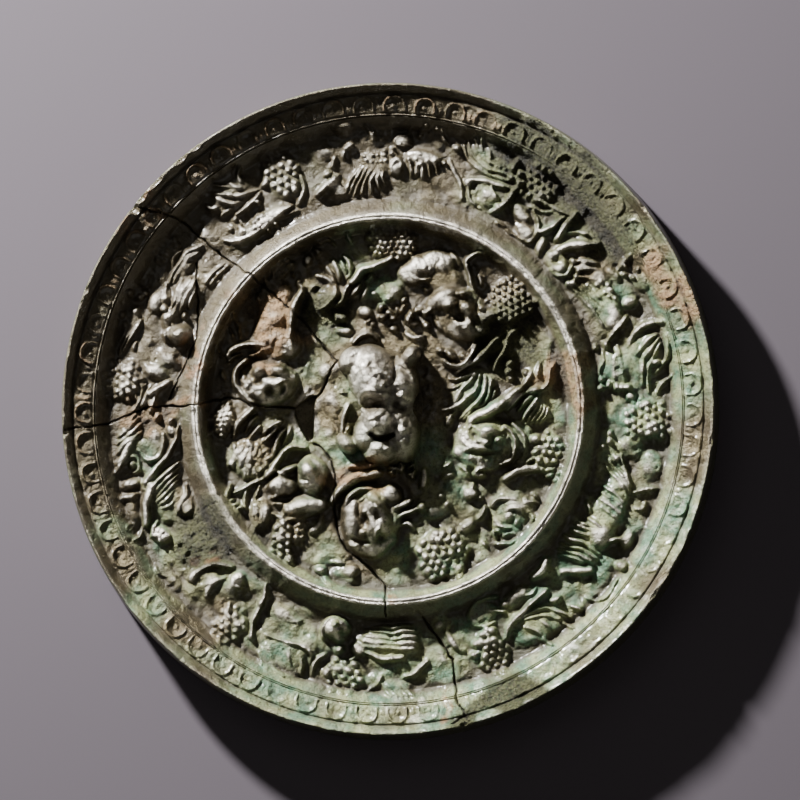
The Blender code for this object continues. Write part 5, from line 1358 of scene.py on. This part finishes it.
smoothed(knob, 0.5, 6)
face = Wax()
face.add(-2.5, 6.5, 1.4, 1.2, 20, 0.4)
face.swell(-2.4, 6.5, 0.5, 0.5, 0, -0.5)
face.over([(1.4, 10.6), (1.4, 8.0), (0.8, 5.8), (-0.2, 4.6)], 2.2, -1.1)
face.over([(-6.8, 8.8), (-6.0, 7.6), (-6.8, 5.8)], 1.6, -0.6)
face.swell(0.8, 13.0, 2.0, 1.6, 0, -1.4)
face.over([(-6.4, 0.6), (-5.6, 2.8), (-3.4, 3.6), (-1.2, 2.6)], 1.5, 0.9)
face.swell(-3.5, 0.7, 2.5, 2.0, -8, -2.4)
face.add(-3.9, 1.1, 1.3, 1.0, 10, 0.8)
face.over([(-3.8, -2.2), (-2.4, -1.6), (-1.0, -0.4), (-0.4, 1.6)], 1.8, 0.9)
face.over([(-0.8, 2.8), (0.8, 2.6), (2.4, 2.7), (4.0, 1.8)], 1.8, 0.6)
face.swell(2.4, 0.4, 1.8, 1.2, -10, -2.4)
face.add(2.9, 0.8, 1.1, 0.7, 20, 0.7)
face.over([(0.6, -4.6), (1.6, -3.0), (1.0, -1.4)], 1.7, -0.6)
face.over([(-3.6, -5.4), (-2.2, -6.2), (-0.6, -6.2), (1.2, -5.6)], 2.1, -2.6, (0.5, 0.5))
face.add(-2.4, -8.0, 1.5, 1.0, 0, 0.45)
face.add(0.5, -8.0, 1.4, 1.0, 0, 0.45)
face.add(3.4, 10.2, 1.3, 1.9, 30, 0.7)
face.over([(2.2, 5.2), (3.6, 5.0), (5.0, 3.6)], 1.6, 0.5)
face.over([(2.4, 8.8), (4.0, 7.4), (5.2, 5.4)], 1.6, -0.6)
face.over([(4.8, -1.6), (5.6, -4.2), (4.8, -6.8)], 1.6, 0.5)
face.over([(-7.2, 3.4), (-7.6, 0.0), (-7.2, -4.6)], 1.3, 0.8)
face.over([(-10.8, 4.8), (-9.4, 5.8), (-7.8, 5.0)], 1.9, -1.8)
face.over([(-10.6, 7.0), (-9.2, 8.2), (-7.6, 7.2)], 1.1, -0.8)
rng = np.random.default_rng(9)
for k in range(50):
    u, v = rng.uniform(-6.5, 6.5), rng.uniform(-11.5, 12.5)
    face.swell(u, v, rng.uniform(0.5, 1.2), None, 0, rng.uniform(-0.2, 0.24))
face.lift += 0.15 * cloud(0.4, 31) + 0.3 * cloud(1.1, 32) - 0.4 * eased(cloud(0.6, 33), 0.8, 2.0)
where = places(knob) / MM
normal = np.empty(len(knob.data.vertices) * 3)
knob.data.vertices.foreach_get("normal", normal)
facing_up = np.clip(normal.reshape(-1, 3)[:, 2], 0, 1) ** 0.7
where[:, 2] += sampled(face.lift, where[:, 0], where[:, 1]) * facing_up * (where[:, 2] > INNER_GROUND)
put(knob, where * MM)
print("knob_beast height, mm:", round(float(where[:, 2].max()), 2), "of", round(CAD_HIGH.z / MM, 2))

# %% Cut the cord tunnel
TUNNEL_MIDDLE = (-0.8, 0.4)
TUNNEL_WIDTH = 6.4
TUNNEL_FLOOR = 5.3
TUNNEL_TOP = 9.7
bpy.ops.object.select_all(action="DESELECT")
bpy.ops.mesh.primitive_cylinder_add(vertices=48, radius=TUNNEL_WIDTH / 2 * MM, depth=40 * MM,
                                    rotation=(0, pi / 2, 0))
tunnel = on_its_own("tunnel")
bpy.ops.object.transform_apply(location=False, rotation=True, scale=False)
where = places(tunnel) / MM
arch = np.where(where[:, 2] > 0, TUNNEL_TOP - TUNNEL_WIDTH / 2 + where[:, 2], TUNNEL_FLOOR)
put(tunnel, np.column_stack([where[:, 0] + TUNNEL_MIDDLE[0], where[:, 1] + TUNNEL_MIDDLE[1], arch]) * MM)
edit(bpy.ops.mesh.dissolve_limited, angle_limit=radians(1))
edit(bpy.ops.mesh.normals_make_consistent, inside=False)
on_its_own("knob_beast", knob)
cut = knob.modifiers.new("tunnel", "BOOLEAN")
cut.operation = "DIFFERENCE"
cut.solver = "EXACT"
cut.object = tunnel
bpy.ops.object.modifier_apply(modifier=cut.name)
bpy.data.objects.remove(tunnel)
print("knob_beast faces:", len(knob.data.polygons))

# %% [markdown]
# ## What more than a thousand years leave on bronze
#
# The metal is a dark tin bronze, still shining where it was rubbed; its crests, the top of the knob and the
# rim's inner slope across from the lamp are also painted light as highlight. Over the lower and right parts
# lies a thin pale green, over some patches a mossy crust, and dry earth has stayed on one lion, on the right
# of the ring and the rim, and in the scrolls of the shaded side. Dark grime fills the hollows and the cracks,
# and painted shade darkens the outer field and rim on the lamp's side where the rim's shadow falls, a band
# low on the ring's outer slope, the foot of the rim and the hollows of the knob's face. Where a finish lies
# depends on the place and on the relief, and a texture knows neither, so each finish gets its own amount at
# every point of the mesh, worked out from the table of heights, and the material mixes them.

# %% Work out where each finish lies
# Angles in degrees from +X: the side that the lamp will come from, and the side of the rim across from it,
# whose inner slope faces the lamp and gets a painted highlight.
LIGHT_AZIMUTH = 128
RIM_HIGHLIGHT_AZIMUTH = -52
# Radii of two circles of painted shade: low on the ring's outer slope, and at the foot of the rim's inner
# slope where the rim's shadow falls.
RING_SHADE_RADIUS = 43.4
RIM_SHADOW_RADIUS = 59.3

spot_x, spot_y = wax.x + 1.6 * cloud(2.0, 11), wax.y + 1.6 * cloud(2.0, 12)
speckle = cloud(0.5, 13)
blotch = cloud(3.0, 14)


def patch(x, y, a, b=None, turn=0):
    """1 in the middle of a patch and 0 outside it, with a ragged border."""
    c, s = cos(radians(turn)), sin(radians(turn))
    u, v = spot_x - x, spot_y - y
    u, v = (u * c + v * s) / a, (-u * s + v * c) / (b or a)
    return 1 - eased(np.hypot(u, v), 0.55, 1.25)


def patches(*shapes):
    return np.max([patch(*shape) for shape in shapes], axis=0)


relief = softened(surface, 0.25) - softened(surface, 1.6)
slope_x, slope_y = np.gradient(softened(surface, 0.2), wax.step)[::-1]
steep = np.hypot(slope_x, slope_y)
turned_slope = np.maximum(eased(4.2 - np.abs(radius - 41.5), 0, 1) * (np.abs(radius - RING_CREST) > 0.8),
                          eased(radius, 58.5, 60.0))
crest = eased(relief, 0.08, 0.6) * (1 - eased(steep, 0.9, 2.0)) * (1 - 0.75 * turned_slope)
pit = eased(-relief, 0.1, 0.6)
deep = eased(softened(surface, 3.0) - softened(surface, 0.5), 0.15, 1.1) * (radius < 60)
toward_light = (wax.x * cos(radians(LIGHT_AZIMUTH)) + wax.y * sin(radians(LIGHT_AZIMUTH))) / RADIUS

from_east = np.degrees(np.arctan2(wax.y, wax.x))
# Painted shade over the outer field and rim on the lamp's side, where the rim's shadow falls; crests and
# scrolls get less of it.
shaded_side = eased(toward_light, 0.0, 0.75) * eased(radius, 44, 47)
scrolls = eased(softened(wax.lift, 0.15), 0.1, 0.32) * eased(1.9 - np.abs(radius - BAND_MIDDLE), 0, 0.5)
# Painted shade low on the ring's outer slope, stronger on the side away from the lamp.
ring_slope_shade = eased(2.0 - np.abs(radius - RING_SHADE_RADIUS), 0, 0.8) * (0.8 + 0.2 * eased(-toward_light, 0.1, 0.5))
# Painted shadow at the foot of the rim's inner slope, strongest on the lamp's side.
rim_foot_shadow = eased(1.3 - np.abs(radius - RIM_SHADOW_RADIUS), 0, 1) * (0.5 + 0.5 * eased(toward_light, -0.4, 0.4))
# Painted highlight on the rim's inner slope across from the lamp, where it faces the light, broken up at
# random.
rim_highlight = eased(radius, 59.5, 62) * (1 - eased(np.abs(from_east - RIM_HIGHLIGHT_AZIMUTH), 30, 55))

finish = {
    "verdigris": np.clip(0.30 - 0.92 * toward_light + 0.45 * blotch - 0.12 * (radius < 37), 0, 1)
    * np.clip(1 - 0.95 * crest - 0.35 * deep, 0, 1),
    "moss": 0.9 * patches((36, 49, 13, 8, -38), (27, 15, 6, 9, 20), (31, 56, 9, 4, -30), (-38, -27, 10, 7, 0),
                          (-14, 22, 5, 5), (24, -62, 10, 5, 20), (46, 37, 5, 7)),
    "earth": patches((38.5, 4, 4.5, 8), (-24.5, 17, 4, 6), (60, 29, 4.5, 9, 27), (-26, 22, 5, 3.5),
                     (37, 9, 3, 5), (-7, -14, 5, 4), (62, 24, 3, 6, 20), (-52, 0, 7, 3, 20))
    * (0.55 + 0.45 * eased(speckle, -1, 1)) + 0.45 * scrolls * eased(toward_light, 0.2, 0.7),
    "rust": patches((-37.5, -30.5, 3, 2), (0, -41, 3, 2), (13.5, -62, 2.5, 3), (-40, 12, 2, 7),
                    (-54, 42, 5, 3, -20), (-44, 1.5, 6, 1.5), (-1.5, -14, 4, 2))
    * eased(speckle, -0.8, 0.8),
    # Crests are lighter from wear and from a painted highlight; the rim's far slope gets a painted highlight.
    "wear_and_highlight": np.maximum(crest * (0.55 + 0.45 * eased(blotch, -1, 1)),
                         0.75 * rim_highlight * eased(speckle + blotch, -1, 1)),
    # Real grime in pits, hollows, cracks and the loss, plus painted shade on the lamp's side, low on the ring
    # and at the rim's foot.
    "dirt_and_shade": np.clip(0.8 * pit + 0.4 * deep + 0.9 * cracks + 0.8 * loss
                    + 0.7 * shaded_side * (1 - 0.7 * np.maximum(crest, scrolls))
                    + 0.62 * ring_slope_shade + 0.5 * rim_foot_shadow, 0, 1),
}
for name, amount in finish.items():
    print(name, "covers", round(100 * float(amount[radius < RADIUS].mean())), "%")


# %% Give every point its share of each finish
GREEN_OUT_OF_SIGHT = 0.35


def weathered(obj):
    """Stores each finish on the piece's points.

    Sides and underside get an even share of green. The knob stands above the table of heights, so the painted
    highlight on its top and the painted shade in the hollows of its face come from its own height and face.
    """
    where = places(obj) / MM
    x, y = where[:, 0], where[:, 1]
    under = (where[:, 2] < 1.0) | (np.hypot(x, y) > CREST_RADIUS + 0.2)
    for name, table in finish.items():
        amount = sampled(table, x, y)
        plain = GREEN_OUT_OF_SIGHT if name == "verdigris" else 0.0
        amount = np.where(under, plain, amount)
        if obj is knob:
            # Painted highlight on the knob's top, and painted shade in the hollows of its face with some
            # random grime.
            high = eased(where[:, 2], 7.5, 12.5)
            worn = eased(sampled(speckle + 0.6 * blotch, x, y), -1.4, 0.8)
            hollow = eased(-sampled(face.lift, x, y), 0.5, 1.7)
            own = {"verdigris": 0.7 * amount * (1 - 0.5 * high),
                   "wear_and_highlight": high * (1 - hollow) * (0.3 + 0.7 * worn),
                   "dirt_and_shade": np.maximum(hollow, 0.35 * (1 - worn)), "rust": 0.4 * amount}
            amount = own.get(name, amount)
        layer = obj.data.attributes.new(name, "FLOAT", "POINT")
        layer.data.foreach_set("value", np.clip(amount, 0, 1).astype(np.float32))


# %% [markdown]
# ## The bronze and its patina as one material
#
# One Principled shader carries everything: metallic and fairly smooth where bronze shows, and dull and
# rough under the green and the crust. Small bumps do what is too fine for the mesh: pores of the casting,
# grains of corrosion and the pitted crust. A thin coat of wax, as dug-up bronze is given, lies over all but
# the crusts and adds the small sharp lights.

# %% Mix the finishes
def nodes_of(name):
    material = bpy.data.materials.new(name)
    material.use_nodes = True
    tree = material.node_tree
    tree.nodes.clear()
    return material, tree


class Mixer:
    """Short words for the nodes of one material."""

    def __init__(self, tree):
        self.tree = tree
        self.place = tree.nodes.new("ShaderNodeTexCoord").outputs["Object"]

    def link(self, socket, value):
        if isinstance(value, bpy.types.NodeSocket):
            self.tree.links.new(value, socket)
        else:
            socket.default_value = value

    def noise(self, size, detail=4.0, rough=0.6):
        node = self.tree.nodes.new("ShaderNodeTexNoise")
        node.inputs["Scale"].default_value = 1 / (size * MM)
        node.inputs["Detail"].default_value = detail
        node.inputs["Roughness"].default_value = rough
        self.link(node.inputs["Vector"], self.place)
        return node.outputs["Fac"]

    def pits(self, size):
        node = self.tree.nodes.new("ShaderNodeTexVoronoi")
        node.inputs["Scale"].default_value = 1 / (size * MM)
        self.link(node.inputs["Vector"], self.place)
        return node.outputs["Distance"]

    def amount(self, name):
        node = self.tree.nodes.new("ShaderNodeAttribute")
        node.attribute_type = "GEOMETRY"
        node.attribute_name = name
        return node.outputs["Fac"]

    def math(self, operation, a, b=0.5, clamp=False):
        node = self.tree.nodes.new("ShaderNodeMath")
        node.operation = operation
        node.use_clamp = clamp
        self.link(node.inputs[0], a)
        self.link(node.inputs[1], b)
        return node.outputs[0]

    def span(self, value, low, high, to_low=0.0, to_high=1.0):
        node = self.tree.nodes.new("ShaderNodeMapRange")
        self.link(node.inputs["Value"], value)
        for socket, number in zip(("From Min", "From Max", "To Min", "To Max"), (low, high, to_low, to_high)):
            node.inputs[socket].default_value = number
        return node.outputs["Result"]

    def mix(self, share, a, b):
        node = self.tree.nodes.new("ShaderNodeMix")
        node.data_type = "RGBA"
        self.link(node.inputs["Factor"], share)
        self.link(node.inputs["A"], a)
        self.link(node.inputs["B"], b)
        return node.outputs["Result"]

    def bump(self, height, strength, distance, under=None):
        node = self.tree.nodes.new("ShaderNodeBump")
        node.inputs["Strength"].default_value = strength
        node.inputs["Distance"].default_value = distance * MM
        self.link(node.inputs["Height"], height)
        if under is not None:
            self.link(node.inputs["Normal"], under)
        return node.outputs["Normal"]


DARK_BRONZE = (0.072, 0.057, 0.034, 1)
BROWN_BRONZE = (0.170, 0.142, 0.080, 1)
WORN_AND_HIGHLIT_BRONZE = (0.86, 0.81, 0.71, 1)
PALE_GREEN = (0.280, 0.305, 0.142, 1)
SEA_GREEN = (0.085, 0.185, 0.108, 1)
MOSS_LIGHT = (0.24, 0.245, 0.107, 1)
MOSS_DARK = (0.05, 0.055, 0.022, 1)
DRY_EARTH = (0.49, 0.305, 0.15, 1)
RUST = (0.38, 0.17, 0.055, 1)
DIRT_AND_SHADE = (0.044, 0.034, 0.018, 1)
WAX_COAT = 0.4
WAX_ROUGHNESS = 0.2


def patinated_bronze():
    material, tree = nodes_of("patinated bronze")
    m = Mixer(tree)
    shader = tree.nodes.new("ShaderNodeBsdfPrincipled")
    output = tree.nodes.new("ShaderNodeOutputMaterial")
    tree.links.new(shader.outputs[0], output.inputs["Surface"])
    broad, middle, grain = m.noise(6.0), m.noise(1.8, 6.0, 0.7), m.noise(0.6, 4.0, 0.7)
    pits = m.pits(0.9)
    ragged = m.span(middle, 0.35, 0.65)
    green = m.math("MULTIPLY", m.amount("verdigris"), m.span(middle, 0.3, 0.62, 0.45, 1.25), clamp=True)
    moss = m.math("MULTIPLY", m.amount("moss"), m.span(grain, 0.3, 0.6, 0.5, 1.2), clamp=True)
    earth = m.math("MULTIPLY", m.amount("earth"), m.span(middle, 0.3, 0.6, 0.55, 1.2), clamp=True)
    rust = m.math("MULTIPLY", m.amount("rust"), ragged, clamp=True)
    wear_and_highlight = m.math("MULTIPLY", m.amount("wear_and_highlight"), m.span(grain, 0.25, 0.6, 0.6, 1.0), clamp=True)
    bare = m.mix(m.span(broad, 0.35, 0.68), DARK_BRONZE, BROWN_BRONZE)
    # Light bronze for wear and for painted highlight.
    bare = m.mix(wear_and_highlight, bare, WORN_AND_HIGHLIT_BRONZE)
    colour = m.mix(green, bare, m.mix(m.span(broad, 0.4, 0.6), PALE_GREEN, SEA_GREEN))
    colour = m.mix(earth, colour, DRY_EARTH)
    colour = m.mix(moss, colour, m.mix(m.span(pits, 0.1, 0.6), MOSS_DARK, MOSS_LIGHT))
    colour = m.mix(rust, colour, RUST)
    colour = m.mix(m.span(middle, 0.46, 0.68, 0.0, 0.6), colour, DIRT_AND_SHADE)
    colour = m.mix(m.span(grain, 0.50, 0.66, 0.0, 0.7), colour, DIRT_AND_SHADE)
    # Darker where real grime lies and where painted shade is laid.
    colour = m.mix(m.math("MULTIPLY", m.amount("dirt_and_shade"), 0.85), colour, DIRT_AND_SHADE)
    m.link(shader.inputs["Base Color"], colour)
    dull = m.math("MAXIMUM", m.math("MAXIMUM", moss, earth),
                  m.math("MAXIMUM", rust, m.math("MULTIPLY", green, 0.62)))
    metal = m.math("MULTIPLY", m.span(dull, 0.0, 1.0, 0.86, 0.0), m.span(m.amount("dirt_and_shade"), 0, 1, 1, 0.2))
    m.link(shader.inputs["Metallic"], metal)
    roughness = m.math("ADD", m.span(dull, 0, 1, 0.36, 0.68), m.span(grain, 0.3, 0.7, -0.06, 0.08),
                       clamp=True)
    m.link(shader.inputs["Roughness"], roughness)
    shader.inputs["Coat Roughness"].default_value = WAX_ROUGHNESS
    m.link(shader.inputs["Coat Weight"], m.span(m.math("MAXIMUM", moss, earth), 0.0, 0.6, WAX_COAT, 0.0))
    crust = m.math("MULTIPLY", m.math("MAXIMUM", moss, earth), m.math("ADD", pits, grain))
    normal = m.bump(crust, 1.0, 0.7)
    normal = m.bump(grain, 0.9, 0.36, normal)
    normal = m.bump(middle, 0.8, 0.50, normal)
    m.link(shader.inputs["Normal"], normal)
    return material


PIECES = [plate, ring, inner_field, knob] + outer_halves
bronze = patinated_bronze()
for piece in PIECES:
    on_its_own(piece.name, piece)
    weathered(piece)
    piece.data.materials.clear()
    piece.data.materials.append(bronze)
    bpy.ops.object.shade_smooth_by_angle(angle=radians(60))
    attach(piece, "root")
    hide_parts("mirror")
print("finished pieces:", len(PIECES), "triangles:", sum(len(p.data.polygons) * 2 for p in PIECES))

# %% [markdown]
# ## Floor, light and camera
#
# The mirror lies on a plain matt floor. A low lamp from the upper left rakes across the relief, which is
# how low relief is lit so that it reads. A large dim panel above it keeps the shadows open, and another one
# across from it gives the far slopes a little light. The camera looks almost straight down from far away.

# %% Lay the floor and light it
FLOOR_SIZE = 4.0
FLOOR_COLOUR = (0.083, 0.070, 0.082, 1)
AIR_COLOUR = (1.0, 0.95, 0.86, 1)
AIR_STRENGTH = 0.052
LAMPS = {
    # azimuth and elevation in degrees, distance and width in metres, power in watts
    "raking lamp": (LIGHT_AZIMUTH, 23, 0.6, 0.045, 23.5),
    "soft panel": (LIGHT_AZIMUTH, 60, 1.6, 1.2, 1.4),
    "far panel": (LIGHT_AZIMUTH + 180, 40, 1.6, 0.9, 1.6),
}
bpy.ops.object.select_all(action="DESELECT")
bpy.ops.mesh.primitive_plane_add(size=FLOOR_SIZE)
floor = on_its_own("floor")
material, tree = nodes_of("matt floor")
shader = tree.nodes.new("ShaderNodeBsdfPrincipled")
shader.inputs["Base Color"].default_value = FLOOR_COLOUR
shader.inputs["Roughness"].default_value = 0.9
tree.links.new(shader.outputs[0], tree.nodes.new("ShaderNodeOutputMaterial").inputs["Surface"])
floor.data.materials.append(material)
floor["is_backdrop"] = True


def toward(azimuth, elevation):
    """The direction from the middle of the mirror to a place in the sky."""
    a, e = radians(azimuth), radians(elevation)
    return Vector((cos(a) * cos(e), sin(a) * cos(e), sin(e)))


def lamp(name, azimuth, elevation, distance, size, power):
    light = bpy.data.lights.new(name, "AREA")
    light.shape = "DISK"
    light.size = size
    light.energy = power
    obj = bpy.data.objects.new(name, light)
    obj.location = toward(azimuth, elevation) * distance
    obj.rotation_euler = obj.location.to_track_quat("Z", "Y").to_euler()
    bpy.context.scene.collection.objects.link(obj)
    return obj


for name, setting in LAMPS.items():
    lamp(name, *setting)
world = bpy.data.worlds.new("studio")
world.use_nodes = True
world.node_tree.nodes["Background"].inputs["Color"].default_value = AIR_COLOUR
world.node_tree.nodes["Background"].inputs["Strength"].default_value = AIR_STRENGTH
bpy.context.scene.world = world

# %% Set up the camera
CAMERA_DISTANCE = 1.4
CAMERA_ELEVATION = 86
CAMERA_AZIMUTH = -45
SENSOR = 36.0
FRAME_WIDTH = 169.4
AIM = Vector((2.55, 1.9, 9.0)) * MM
direction = toward(CAMERA_AZIMUTH, CAMERA_ELEVATION)
up = (Vector((0, 1, 0)) - direction * direction.y).normalized()
right = up.cross(direction)
camera_data = bpy.data.cameras.new("camera")
camera_data.sensor_width = SENSOR
camera_data.lens = SENSOR * CAMERA_DISTANCE / (FRAME_WIDTH * MM)
camera_data.clip_end = 20
camera = bpy.data.objects.new("camera", camera_data)
turned = Matrix((right, up, direction)).transposed().to_4x4()
camera.matrix_world = Matrix.Translation(AIM + direction * CAMERA_DISTANCE) @ turned
bpy.context.scene.collection.objects.link(camera)
bpy.context.scene.camera = camera
print("lens, mm:", round(camera_data.lens))
